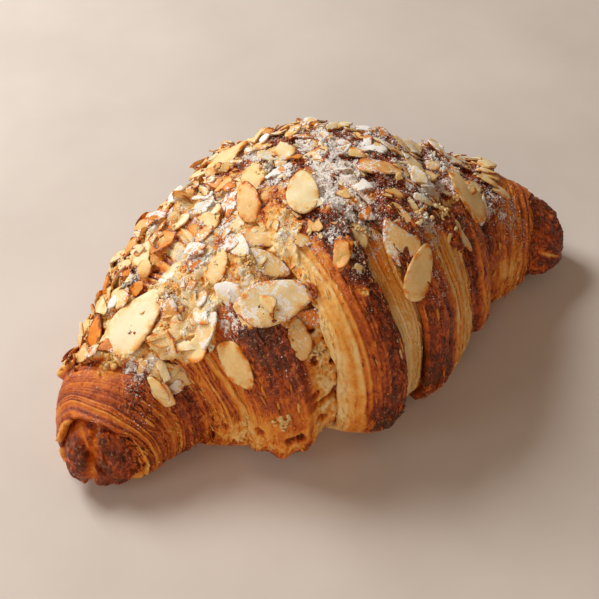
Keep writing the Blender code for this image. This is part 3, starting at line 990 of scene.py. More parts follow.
@dataclass
class Seats:
    """Where loose pieces lie: a place, a frame of three directions and a size for each."""

    place: Array
    along: Array
    across: Array
    normal: Array
    bake: Array
    dust: Array

    def turned(self, spin: Array, pitch: Array, roll: Array) -> "Seats":
        """The same seats with each piece spun on its normal and then tilted.

        Args:
            spin: turn about the normal, in radians.
            pitch: tilt that lifts the front end.
            roll: tilt that lifts one side.

        Returns:
            New seats.
        """
        def swing(first: Array, second: Array, turn: Array) -> tuple[Array, Array]:
            """Turn two directions in their own plane."""
            cos, sin = np.cos(turn)[:, None], np.sin(turn)[:, None]
            return first * cos + second * sin, second * cos - first * sin

        along, across = swing(self.along, self.across, spin)
        along, normal = swing(along, self.normal, pitch)
        across, normal = swing(across, normal, roll)
        return replace(self, along=along, across=across, normal=normal)

    def tumbled(
        self, rng: np.random.Generator, tilts: Span, more: tuple[Array | float, ...] = (1.0, 1.0)
    ) -> "Seats":
        """The same seats with each piece spun at random and tilted a little both ways.

        Args:
            rng: seeded random numbers.
            tilts: spreads of the tilt of the front end and of the tilt of one side.
            more: factors for the two tilts, for pieces that stand up.

        Returns:
            New seats.
        """
        count = len(self.place)
        spin = rng.uniform(0.0, FULL_TURN, count)
        pitch, roll = (rng.normal(0.0, tilt, count) * gain for tilt, gain in zip(tilts, more))
        return self.turned(spin, pitch, roll)

    def placed(self, local: Array) -> Array:
        """Points of each piece, moved from its own frame to its seat."""
        axes = np.stack([self.along, self.across, self.normal], axis=1)
        return np.einsum("nvi,nij->nvj", local, axes) + self.place[:, None]

    def raised(self, height: Array | float) -> "Seats":
        """The same seats, moved out along their normals by a height in millimetres."""
        lifted = self.place + self.normal * np.broadcast_to(height, self.place.shape[:1])[:, None]
        return replace(self, place=lifted)


def seats_on(crust: Crust, line: Array, angle: Array, step: float = 1.2) -> Seats:
    """Seats on the whole crust, flat to its slope over a short footing.

    Args:
        crust: the crust they lie on.
        line: wrap line of each seat.
        angle: degrees round the roll of each seat.
        step: how far each way the slope is read, in millimetres.

    Returns:
        The seats, with along pointing up the line numbers, and the crust's baking, painted shade and
        sugar.
    """
    def at(lines: Array, angles: Array) -> Skin:
        """The crust of the wrap that shows at each line."""
        found = Skin(np.zeros((*lines.shape, 3)), *(np.zeros(lines.shape) for _ in range(3)))
        for wrap, (low, high) in shown_stretches():
            mine = (lines >= low) & (lines < high)
            if mine.any():
                skin = crust.skin(lines[mine], angles[mine], wrap.keep(), wrap.tones)
                found.points[mine] = skin.points
                found.bake[mine] = skin.bake
                found.dust[mine] = skin.dust
        return found

    turn = np.degrees(step / MEAN_RADIUS)
    here = at(line, angle)
    along = unit(at(line + step, angle).points - at(line - step, angle).points)
    around = unit(at(line, angle + turn).points - at(line, angle - turn).points)
    smooth_normal = crust.roll.outward(crust.roll.leaned(line, angle), angle)
    normal = unit(unit(np.cross(along, around)) + smooth_normal)
    along = unit(along - normal * np.sum(along * normal, axis=-1, keepdims=True))
    return Seats(here.points, along, np.cross(normal, along), normal, here.bake, here.dust)


def shown_stretches() -> list[tuple[Wrap, Span]]:
    """Each wrap with the lines over which it is the one that shows."""
    pairs = zip(WRAPS[:-1], WRAPS[1:])
    borders = [after.start if after.left is Edge.LIP else before.end for before, after in pairs]
    return list(zip(WRAPS, zip([-math.inf, *borders], [*borders, math.inf])))


@dataclass(frozen=True)
class Wafer:
    """A thin closed leaf with a rounded rim, such as an almond slice or a flake of dough."""

    sides: int
    profile: Rows

    def grid(self) -> tuple[Array, Array, Array]:
        """Turn, radius share and height share of each point of the leaf's rows.

        Returns:
            Arrays of rows by sides. The rows go from the middle of the top over the rim
            to the middle of the underside.
        """
        turn, _ = np.meshgrid(
            np.arange(self.sides) * 2.0 * math.pi / self.sides, np.arange(len(self.profile))
        )
        radius, height = (
            np.repeat(np.array(self.profile)[:, [column]], self.sides, axis=1) for column in (0, 1)
        )
        return turn, radius, height


FINE_LEAF = Wafer(34, ((0.3, 0.5), (0.6, 0.5), (0.86, 0.5), (0.965, 0.46), (1.0, 0.2),
                       (1.0, -0.25), (0.95, -0.5), (0.45, -0.5)))
SHARD_LEAF = Wafer(8, ((0.6, 0.5), (1.0, 0.0), (0.6, -0.5)))
SMALL_LEAF = Wafer(14, ((0.55, 0.5), (0.97, 0.5), (1.0, -0.4), (0.6, -0.5)))


@dataclass
class Leaves:
    """Sizes of many leaves at once, one number of each kind for every leaf."""

    length: Array
    aspect: Array
    point: Array
    thickness: Array
    bow: Array
    cup: Array
    twist: Array
    cuts: Array
    rag: float
    tone: Array

    def shape(self, wafer: Wafer, seats: Seats, seed: int, dust: Array) -> Shape:
        """Lay every leaf on its seat.

        Args:
            wafer: the leaf's rows.
            seats: one seat for each leaf.
            seed: number that picks the raggedness.
            dust: sugar on each leaf, from 0 to 1.

        Returns:
            One joined shape. A leaf's outline is an oval drawn out to a point, its
            height is the rim profile, less the bow along it and the cup across it,
            plus the twist, which is along times across. Three straight cuts break it:
            a point beyond a cut's line moves back on to it.
        """
        count = len(self.length)
        rng = np.random.default_rng(seed)
        turn, radius, height = wafer.grid()
        waves = rng.uniform(-1.0, 1.0, (count, 4, 1, 1))
        phase = rng.uniform(0.0, FULL_TURN, (count, 4, 1, 1))
        beats = np.array([3, 5, 8, 12])[None, :, None, None]
        rag = 1.0 + self.rag * np.sum(waves * np.sin(beats * turn + phase) / np.sqrt(beats), axis=1)
        length, aspect, point, thickness, bow, cup, twist = (
            size[:, None, None]
            for size in (
                self.length, self.aspect, self.point, self.thickness, self.bow, self.cup, self.twist
            )
        )
        x = 0.5 * np.cos(turn) * radius * rag
        y = 0.5 * np.sin(turn) * radius * rag * aspect
        y = y * (1.0 - point * np.cos(turn))
        for cut, way in zip(self.cuts.T, rng.uniform(0.0, FULL_TURN, (3, count))):
            cos, sin = np.cos(way)[:, None, None], np.sin(way)[:, None, None]
            jagged = 0.012 * np.sin(40.0 * (y * cos - x * sin) + phase[:, 2])
            reach = 0.5 * np.sqrt(cos**2 + (aspect * sin) ** 2)
            beyond = np.maximum(x * cos + y * sin - cut[:, None, None] * reach - jagged, 0.0)
            x = x - beyond * cos
            y = y - beyond * sin
        warp = bow * (4.0 * x * x - 0.3) + cup * (4.0 * y * y - 0.1) + twist * 4.0 * x * y
        ripple = 0.012 * np.sin(9.0 * x + phase[:, 0]) * np.sin(13.0 * y + phase[:, 1])
        z = thickness * height + length * (ripple - warp)
        local = np.stack([x * length, y * length, z], axis=-1).reshape(count, -1, 3)
        middle = length[:, 0, 0] * (0.3 * self.bow + 0.1 * self.cup)
        for side in (0.5, -0.5):
            end = np.stack([middle * 0, middle * 0, middle + side * self.thickness], axis=-1)
            local = np.concatenate([local, end[:, None]], axis=1)
        points = seats.placed(local)
        per_leaf = local.shape[1]
        faces = []
        corner_uv = []
        flat = local[:, :, :2] / length + 0.5
        for block in grid_faces(len(wafer.profile), wafer.sides):
            moved = block[None] + (np.arange(count) * per_leaf)[:, None, None]
            faces.append(moved.reshape(-1, block.shape[1]))
            corner_uv.append(flat[:, block].reshape(-1, 2))
        rim = np.concatenate([np.repeat(radius[:, 0], wafer.sides), [0.0, 0.0]])
        values = {
            "tone": np.repeat(self.tone, per_leaf),
            "rim": np.tile(rim, count),
            "dust": np.repeat(dust, per_leaf),
        }
        return Shape(points.reshape(-1, 3), faces, np.concatenate(corner_uv), values)


@dataclass(frozen=True)
class LeafKind:
    """Lowest and highest sizes of one kind of leaf, which are drawn in this order."""

    aspect: Span
    point: Span
    thickness: Span
    bow: Span
    cup: Span
    twist: Span
    cuts: Span
    rag: float

    def drawn(self, rng: np.random.Generator, length: Array) -> Leaves:
        """Leaves of this kind, as yet without a tone.

        Args:
            rng: seeded random numbers.
            length: length of each leaf in millimetres.

        Returns:
            The leaves, with every other size drawn evenly between its limits.
        """
        count = len(length)
        spans = (self.aspect, self.point, self.thickness, self.bow, self.cup, self.twist)
        sizes = [rng.uniform(*span, count) for span in spans]
        cuts = rng.uniform(*self.cuts, (count, 3))
        return Leaves(length, *sizes, cuts, self.rag, np.zeros(count))


PETAL = LeafKind(
    aspect=(0.40, 0.70), point=(0.0, 0.3), thickness=(0.35, 0.55), bow=(0.0, 0.13),
    cup=(-0.05, 0.12), twist=(-0.12, 0.12), cuts=(0.15, 1.2), rag=0.06,
)
FRAGMENT = LeafKind(
    aspect=(0.25, 0.75), point=(-0.3, 0.3), thickness=(0.3, 0.5), bow=(-0.05, 0.14),
    cup=(-0.05, 0.12), twist=(-0.15, 0.15), cuts=(0.05, 1.0), rag=0.05,
)
SHARD = LeafKind(
    aspect=(0.08, 0.26), point=(-0.5, 0.5), thickness=(0.16, 0.34), bow=(-0.02, 0.10),
    cup=(-0.1, 0.25), twist=(-0.12, 0.12), cuts=(0.3, 1.1), rag=0.22,
)


@dataclass(frozen=True)
class Slices:
    """Sliced almonds: the large ones of the solid, its scattered ones, and small fragments."""

    # The eighth slice's tone is set darker, partly to paint the shade that falls on it.
    large: Rows = (
        (43, 96, -5, 23, 0.02, 0.0), (90, 87, 58, 16, 0.12, 0.05), (73, 73, -46, 14, 0.35, 0.55),
        (76, 83, -40, 13, 0.42, 0.35), (71, 57, -5, 22, 0.22, 0.55), (65, 57.5, -10, 15, 0.30, 0.15),
        (53, 39.5, -86, 15, 0.34, 0.1), (105, 57.5, 70, 18, 0.42, 0.5), (105, 42, 42, 17, 0.30, 0.05),
        (138, 65, 111, 18, 0.28, 0.1), (79, 96, 65, 14, 0.50, 0.15), (85, 106, 60, 14, 0.30, 0.2),
        (55, 95, 0, 14, 0.15, 0.5), (75, 46, 5, 11, 0.80, 0.35), (71.5, 40, 80, 12, 0.45, 0.3),
        (40, 128, 30, 14, 0.80, 0.0), (87, 130, 20, 18, 0.25, 0.1), (95, 65, 70, 9, 0.30, 0.2),
        (127, 61, 0, 10, 0.25, 0.5), (112, 84, -30, 14, 0.60, 0.4), (100, 98, 20, 12, 0.35, 0.5),
        (126, 88, 80, 12, 0.30, 0.5), (64, 82, 40, 11, 0.35, 0.3), (52, 62, 20, 12, 0.30, 0.6),
    )  # line, angle, turn, length, tone and sugar
    aspect: float = 0.52
    point: float = 0.28
    seed: int = 14
    count: int = 44
    lengths: Span = (5.0, 11.0)
    lines: Span = (34.0, 160.0)
    angles: Span = (62.0, 150.0)
    turns: Span = (0.0, 180.0)
    spacing: float = 7.5
    fragment_count: int = 640
    petal_count: int = 260
    petal_lengths: Span = (5.0, 11.5)
    petal_clear: float = 0.42

    def scattered(self, roll: Roll) -> list[Limits]:
        """The solid's smaller slices, drawn by the same seeded rule.

        Args:
            roll: the form, for its girth.

        Returns:
            Line, angle, turn and length of each slice.
        """
        draw = random.Random(self.seed)
        placed = [(row[0], row[1]) for row in self.large]
        rows: list[Limits] = []
        while len(rows) < self.count:
            spans = (self.lines, self.angles, self.turns, self.lengths)
            line, angle, turn, length = (draw.uniform(*span) for span in spans)
            radius = float(through_rows(roll.girth, np.array(line))[1])
            gaps = [math.hypot(line - s, math.radians(angle - a) * radius) for s, a in placed]
            if min(gaps) < self.spacing:
                continue
            placed.append((line, angle))
            rows.append((line, angle, turn, length))
        return rows

    def crest(self, angle: Array) -> Array:
        """1 along the crest, where broken bits stand up, and 0 in front and at the back."""
        return smooth_step(106.0, 122.0, angle) * (1.0 - smooth_step(148.0, 160.0, angle))

    def build(self, crust: Crust) -> bpy.types.Object:
        """Make the large and the scattered slices as one piece."""
        large = np.array(self.large, dtype=float)
        rows = np.concatenate([large[:, :4], np.array(self.scattered(crust.roll))])
        line, angle, turn, length = rows.T
        count = len(rows)
        rng = np.random.default_rng(self.seed)
        seats = seats_on(crust, line, angle, step=2.5).turned(
            np.radians(turn), rng.normal(0.0, 0.06, count), rng.normal(0.0, 0.07, count)
        )
        small = np.arange(count) >= len(large)
        tone = rng.uniform(0.05, 0.6, count)
        tone[: len(large)] = large[:, 4]
        leaves = Leaves(
            length=length,
            aspect=self.aspect * rng.uniform(0.88, 1.12, count),
            point=np.full(count, self.point),
            thickness=rng.uniform(0.5, 0.75, count),
            bow=rng.uniform(0.02, 0.07, count),
            cup=rng.uniform(-0.03, 0.06, count),
            twist=rng.uniform(-0.06, 0.06, count),
            cuts=np.where(
                small[:, None], rng.uniform(0.3, 1.3, (count, 3)), rng.uniform(0.84, 1.4, (count, 3))
            ),
            rag=0.03,
            tone=tone,
        )
        dust = 0.6 * seats.dust
        dust[: len(large)] = large[:, 5]
        shape = leaves.shape(FINE_LEAF, seats.raised(0.5), self.seed, dust)
        return shape.to_object("almond_slices")

    def build_petals(self, crust: Crust) -> bpy.types.Object:
        """Make the thin broken slices that lie over each other between the large ones."""
        rng = np.random.default_rng(self.seed + 4)
        line, angle = scattered_places(crust, rng, 6 * self.petal_count, 0.6)
        large = np.array(self.large, dtype=float)
        along = line[:, None] - large[:, 0]
        around = np.radians(angle[:, None] - large[:, 1]) * MEAN_RADIUS
        clear = (np.hypot(along, around) / (self.petal_clear * large[:, 3])).min(axis=1) > 1.0
        kept = rng.uniform(0.0, 1.0, len(line)) < 1.0 - 0.62 * smooth_step(70.0, 95.0, line)
        line, angle = (places[clear & kept][: self.petal_count] for places in (line, angle))
        count = len(line)
        crest = self.crest(angle)
        seats = seats_on(crust, line, angle, step=2.0).tumbled(
            rng, tilts=(0.17, 0.22), more=(1.0 + 1.2 * crest, 1.0 + 1.0 * crest)
        )
        leaves = PETAL.drawn(rng, rng.uniform(*self.petal_lengths, count))
        leaves.tone = 0.12 + 0.72 * rng.uniform(0.0, 1.0, count) ** 1.1
        raised = seats.raised(rng.uniform(0.1, 0.9, count) + 0.7 * crest)
        shape = leaves.shape(FINE_LEAF, raised, self.seed + 5, 0.12 + 1.1 * seats.dust)
        return shape.to_object("almond_petals")

    def build_fragments(self, crust: Crust) -> bpy.types.Object:
        """Make the small broken bits of almond slice, more of them along the crest."""
        rng = np.random.default_rng(self.seed + 1)
        line, angle = scattered_places(crust, rng, self.fragment_count, 0.45)
        count = len(line)
        crest = self.crest(angle)
        seats = seats_on(crust, line, angle).tumbled(
            rng, tilts=(0.28, 0.28), more=(1.0 + 1.2 * crest, 1.0 + 1.2 * crest)
        )
        length = 1.2 + 4.4 * rng.uniform(0.0, 1.0, count) ** 1.8 + 0.8 * crest
        leaves = FRAGMENT.drawn(rng, length)
        darkest = np.where(rng.uniform(0.0, 1.0, count) < 0.16, 0.85, 0.62)
        share = rng.uniform(0.0, 1.0, count)
        browned = np.where(rng.uniform(0.0, 1.0, count) < 0.2, 0.3, 1.2)
        leaves.tone = darkest * share**browned
        raised = seats.raised(0.2 + 0.7 * crest)
        shape = leaves.shape(SMALL_LEAF, raised, self.seed + 2, 0.8 * seats.dust)
        return shape.to_object("almond_fragments", smooth=False)


def mostly_small(rng: np.random.Generator, span: Span, power: float, count: int) -> Array:
    """Sizes between two limits, more of them small the higher the power."""
    return span[0] + (span[1] - span[0]) * rng.uniform(0.0, 1.0, count) ** power


def scattered_places(
    crust: Crust, rng: np.random.Generator, count: int, least_cover: float
) -> tuple[Array, Array]:
    """Random places on the topping.

    Args:
        crust: the crust, for its cover of almond cream.
        rng: seeded random numbers.
        count: how many places.
        least_cover: cover that a place must have.

    Returns:
        Lines and angles, spread evenly over the topping's area.
    """
    lines: list[Array] = []
    angles: list[Array] = []
    found = 0
    while found < count:
        line = rng.uniform(22.0, 170.0, 4 * count)
        angle = rng.uniform(30.0, 168.0, 4 * count)
        width = through_rows(crust.roll.girth, line)[:, 0]
        base = crust.roll.envelope(crust.roll.leaned(line, angle), angle)
        wanted = crust.cream(line, angle, base) > least_cover
        wanted &= rng.uniform(0.0, WIDEST, len(line)) < width
        lines.append(line[wanted])
        angles.append(angle[wanted])
        found += int(wanted.sum())
    return np.concatenate(lines)[:count], np.concatenate(angles)[:count]


def stamped(
    corners: Array,
    triangles: Array,
    seats: Seats,
    size: Array,
    squash: Array,
    rng: np.random.Generator,
    values: dict[str, Array],
) -> Shape:
    """Copies of one small lump, each turned to its seat and scaled three ways.

    Args:
        corners: the lump's points, of radius about 1.
        triangles: its faces.
        seats: one seat for each copy.
        size: radius of each copy in millimetres.
        squash: three factors for each copy, along, across and out.
        rng: seeded random numbers that move each corner in or out.
        values: a number for each copy.

    Returns:
        One joined shape.
    """
    count = len(size)
    uneven = rng.uniform(0.62, 1.3, (count, len(corners), 1))
    points = seats.placed(corners[None] * uneven * squash[:, None] * size[:, None, None])
    faces = triangles[None] + (np.arange(count) * len(corners))[:, None, None]
    flat = corners[:, :2] * 0.5 + 0.5
    corner_uv = np.tile(flat[triangles].reshape(-1, 2), (count, 1))
    carried = {key: np.repeat(value, len(corners)) for key, value in values.items()}
    return Shape(points.reshape(-1, 3), [faces.reshape(-1, 3)], corner_uv, carried)


def lump(kind: str) -> tuple[Array, Array]:
    """Points and outward triangles of a regular lump.

    Args:
        kind: "eight" for an octahedron, "twenty" for an icosahedron.

    Returns:
        Points at radius 1, and the triangles.
    """
    if kind == "eight":
        points = np.concatenate([np.eye(3), -np.eye(3)])
    else:
        golden = (1.0 + math.sqrt(5.0)) / 2.0
        flat = [(0.0, a, b * golden) for a in (1.0, -1.0) for b in (1.0, -1.0)]
        points = unit(np.array([np.roll(row, shift) for shift in range(3) for row in flat]))
    gap = np.linalg.norm(points[:, None] - points[None], axis=-1)
    near = (gap > 0.1) & (gap < gap[gap > 0.1].min() * 1.05)
    triangles = []
    for a, b, c in np.ndindex(len(points), len(points), len(points)):
        if a < b and a < c and near[a, b] and near[b, c] and near[a, c]:
            if np.dot(np.cross(points[b] - points[a], points[c] - points[a]), points[a]) > 0:
                triangles.append((a, b, c))
    return points, np.array(triangles)


@dataclass(frozen=True)
class Crumbs:
    """Baked crumbs of almond cream and broken dough that make the topping craggy."""

    count: int = 7700
    seed: int = 21
    sizes: Span = (0.2, 0.65)
    clusters: Rows = (
        (97, 66, 1.5, 0.14), (124, 60, 1.9, 0.10), (30, 98, 2.6, 0.20), (62, 4, 1.8, 0.18),
        (46, 120, 1.8, 0.25), (64, 84, 2.0, 0.18), (114, 60, 1.6, 0.24), (75, 30, 1.4, 0.12),
        (70, 76, 1.6, 0.20), (52, 90, 1.8, 0.16), (88, 104, 1.8, 0.2), (134, 66, 1.4, 0.3),
    )
    in_cluster: int = 44
    speck_count: int = 1500
    speck_lighter: float = 0.16
    speck_size: Span = (0.10, 0.30)

    def places(self, crust: Crust, rng: np.random.Generator) -> tuple[Array, Array, Array, Array]:
        """Lines, angles, set tones and lightening of the crumbs.

        Args:
            crust: the crust they lie on.
            rng: seeded random numbers.

        Returns:
            The loose crumbs of the topping, the specks on the bare crust and the pale
            clusters. Only a cluster has a set tone: for the others it is not a number.
        """
        line, angle = scattered_places(crust, rng, self.count, 0.3)
        middles, turns, spreads, tones = (
            np.repeat(column, self.in_cluster) for column in np.array(self.clusters).T
        )
        near_line = middles + spreads * rng.normal(0.0, 0.6, len(middles))
        near_angle = turns + np.degrees(spreads / MEAN_RADIUS) * rng.normal(0.0, 0.6, len(middles))
        speck_line = rng.uniform(8.0, 180.0, self.speck_count)
        speck_angle = rng.uniform(-26.0, 100.0, self.speck_count)
        loose = np.full(self.count + self.speck_count, np.nan)
        lighter = np.repeat([0.0, self.speck_lighter, 0.0], [self.count, self.speck_count, len(tones)])
        return (
            np.concatenate([line, speck_line, near_line]),
            np.concatenate([angle, speck_angle, near_angle]),
            np.concatenate([loose, tones]),
            lighter,
        )

    def build(self, crust: Crust) -> bpy.types.Object:
        """Make the crumbs as one piece of many squashed lumps."""
        rng = np.random.default_rng(self.seed)
        line, angle, set_tone, lighter = self.places(crust, rng)
        count = len(line)
        seats = seats_on(crust, line, angle).tumbled(rng, tilts=(0.5, 0.5))
        points, triangles = lump("twenty")
        size = mostly_small(rng, self.sizes, 2.6, count)
        heaped = ~np.isnan(set_tone)
        size = np.where(heaped, 0.3 + 0.45 * rng.uniform(0.0, 1.0, count), size)
        size = np.where(lighter > 0.0, rng.uniform(*self.speck_size, count), size)
        rise = np.where(heaped, rng.uniform(0.0, 1.1, count), 0.1 * size)
        squash = rng.uniform(0.5, 1.4, (count, 3))
        tone = np.where(heaped, set_tone, seats.bake - lighter) + rng.normal(-0.04, 0.13, count)
        values = {"bake": np.clip(tone, 0.05, 0.97), "dust": seats.dust, "cream": np.ones(count)}
        shape = stamped(points, triangles, seats.raised(rise), size, squash, rng, values)
        return shape.to_object("topping_crumbs", smooth=False)


@dataclass(frozen=True)
class Sugar:
    """Grains and small clots of icing sugar that stand on the topping."""

    count: int = 22000
    seed: int = 33
    sizes: Span = (0.08, 0.26)

    def build(self, crust: Crust) -> bpy.types.Object:
        """Make the grains, kept where the dusting is heavy."""
        rng = np.random.default_rng(self.seed)
        line = rng.uniform(8.0, 172.0, self.count * 9)
        angle = rng.uniform(18.0, 160.0, self.count * 9)
        width = through_rows(crust.roll.girth, line)[:, 0]
        base = crust.roll.envelope(crust.roll.leaned(line, angle), angle)
        amount = crust.dust(line, angle, base, 0.7)
        wanted = rng.uniform(0.0, 1.0, len(line)) < amount**1.6 * width / WIDEST
        line, angle, amount = (array[wanted][: self.count] for array in (line, angle, amount))
        count = len(line)
        seats = seats_on(crust, line, angle, step=0.6).tumbled(rng, tilts=(0.6, 0.6))
        points, triangles = lump("eight")
        size = mostly_small(rng, self.sizes, 1.6, count)
        squash = rng.uniform(0.7, 1.3, (count, 3))
        raised = seats.raised(0.2 * size)
        shape = stamped(points, triangles, raised, size, squash, rng, {"dust": amount})
        return shape.to_object("icing_sugar", smooth=False)


@dataclass(frozen=True)
class Shards:
    """Thin brittle shards of dough: along the wraps' lips and loose on the dark crust."""

    count: int = 1900
    seed: int = 55
    lengths: Span = (1.5, 5.5)
    share_at_lips: float = 0.3

    def build(self, crust: Crust) -> bpy.types.Object:
        """Make the shards as one piece of thin ragged leaves, laid along the wraps."""
        rng = np.random.default_rng(self.seed)
        lips = [wrap.start for wrap in WRAPS if wrap.left is Edge.LIP]
        lips += [wrap.end for wrap in WRAPS if wrap.right is Edge.LIP]
        at_lip = rng.uniform(0.0, 1.0, self.count) < self.share_at_lips
        lip = rng.choice(np.array(lips), self.count) + rng.normal(0.0, 0.8, self.count)
        line = np.where(at_lip, lip, rng.uniform(18.0, 168.0, self.count))
        angle = rng.uniform(-22.0, 70.0, self.count)
        seats = seats_on(crust, line, angle).turned(
            math.pi / 2 + rng.normal(0.0, 0.22, self.count),
            rng.normal(0.0, 0.12, self.count),
            rng.normal(0.0, 0.36, self.count),
        )
        length = rng.uniform(*self.lengths, self.count) * np.where(seats.bake > 0.5, 1.0, 0.6)
        leaves = SHARD.drawn(rng, length)
        leaves.tone = rng.normal(-0.05, 0.12, self.count)
        shape = leaves.shape(SHARD_LEAF, seats.raised(0.06), self.seed, 0.5 * seats.dust)
        baked = np.repeat(seats.bake, len(shape.points) // self.count)
        shape.values["bake"] = np.clip(baked + shape.values["tone"], 0.1, 0.95)
        return shape.to_object("dough_shards", smooth=False)


# ----- Finishes -----

Colour = tuple[float, float, float]
Stops = tuple[tuple[float, Colour], ...]
Socket = bpy.types.NodeSocket


def from_screen(red: int, green: int, blue: int) -> Colour:
    """Linear colour of a screen colour from 0 to 255: the inverse of the screen's curve."""
    shares = np.array([red, green, blue]) / 255.0
    linear = np.where(shares <= 0.04045, shares / 12.92, ((shares + 0.055) / 1.055) ** 2.4)
    return tuple(float(value) for value in linear)


class Board:
    """A material's node tree, with short calls for the nodes that the finishes share."""

    def __init__(self, name: str) -> None:
        """Start a material with a Principled shader.

        Args:
            name: name of the material.
        """
        self.material = bpy.data.materials.new(name)
        self.material.use_nodes = True
        self.nodes = self.material.node_tree.nodes
        self.links = self.material.node_tree.links
        self.shader = self.nodes["Principled BSDF"]
        self.place = self.nodes.new("ShaderNodeTexCoord").outputs["Object"]

    def put(self, value: object, socket: Socket) -> None:
        """Link a socket, or set a number or colour."""
        if isinstance(value, Socket):
            self.links.new(value, socket)
        else:
            socket.default_value = value

    def shade(self, settings: dict[str, object]) -> None:
        """Link or set inputs of the Principled shader by their names."""
        for name, value in settings.items():
            self.put(value, self.shader.inputs[name])

    def attribute(self, name: str) -> Socket:
        """A number stored on the mesh's points."""
        node = self.nodes.new("ShaderNodeAttribute")
        node.attribute_name = name
        return node.outputs["Fac"]

    def noise(self, size_mm: float, detail: float = 3.0, roughness: float = 0.6) -> Socket:
        """Noise from 0 to 1 whose lumps are about this wide."""
        node = self.nodes.new("ShaderNodeTexNoise")
        node.inputs["Scale"].default_value = 1000.0 / size_mm
        node.inputs["Detail"].default_value = detail
        node.inputs["Roughness"].default_value = roughness
        self.links.new(self.place, node.inputs["Vector"])
        return node.outputs["Fac"]

    def sway(self, size_mm: float, detail: float = 3.0, roughness: float = 0.6) -> Socket:
        """The same noise, from -0.5 to 0.5."""
        return self.math("SUBTRACT", self.noise(size_mm, detail, roughness), 0.5)

    def math(self, operation: str, first: object, second: object = 0.0) -> Socket:
        """One sum of two numbers."""
        node = self.nodes.new("ShaderNodeMath")
        node.operation = operation
        self.put(first, node.inputs[0])
        self.put(second, node.inputs[1])
        return node.outputs[0]

    def times(self, first: object, second: object) -> Socket:
        """Two numbers multiplied."""
        return self.math("MULTIPLY", first, second)

    def plus(self, base: object, extra: object, share: object) -> Socket:
        """The base and a share of the extra, added up."""
        return self.math("ADD", base, self.times(extra, share))

    def ranged(self, value: object, taken: Span, given: Span = (0.0, 1.0)) -> Socket:
        """A number moved from the range taken to the range given, eased and clipped."""
        node = self.nodes.new("ShaderNodeMapRange")
        node.interpolation_type = "SMOOTHSTEP"
        for name, limit in zip(("From Min", "From Max", "To Min", "To Max"), (*taken, *given)):
            node.inputs[name].default_value = limit
        self.put(value, node.inputs["Value"])
        return node.outputs["Result"]

    def ramp(self, value: object, stops: Stops) -> Socket:
        """A colour read from stops."""
        node = self.nodes.new("ShaderNodeValToRGB")
        elements = node.color_ramp.elements
        while len(elements) < len(stops):
            elements.new(0.5)
        for element, (place, colour) in zip(elements, stops):
            element.position = place
            element.color = (*colour, 1.0)
        self.put(value, node.inputs["Fac"])
        return node.outputs["Color"]

    def mix(self, share: object, first: object, second: object) -> Socket:
        """Two colours mixed by a share."""
        node = self.nodes.new("ShaderNodeMix")
        node.data_type = "RGBA"
        self.put(share, node.inputs["Factor"])
        for name, colour in (("A", first), ("B", second)):
            self.put((*colour, 1.0) if isinstance(colour, tuple) else colour, node.inputs[name])
        return node.outputs["Result"]

    def bump(self, height: object, distance_mm: float, strength: float = 1.0) -> None:
        """Fine relief for the shader."""
        node = self.nodes.new("ShaderNodeBump")
        node.inputs["Strength"].default_value = strength
        node.inputs["Distance"].default_value = distance_mm * MM
        self.put(height, node.inputs["Height"])
        self.shade({"Normal": node.outputs["Normal"], "Coat Normal": node.outputs["Normal"]})

    def sugared(self, colour: object, dust: Socket, sugar: Colour) -> tuple[Socket, Socket]:
        """A colour under a speckle of icing sugar.

        Args:
            colour: the colour below.
            dust: amount of sugar, from 0 to 1.
            sugar: the sugar's colour.

        Returns:
            The mixed colour, and the share that is sugar.
        """
        level = self.plus(self.noise(0.75, 3.0, 0.75), dust, 0.36)
        share = self.ranged(level, (0.66, 0.75), (0.0, 0.94))
        return self.mix(share, colour, sugar), share


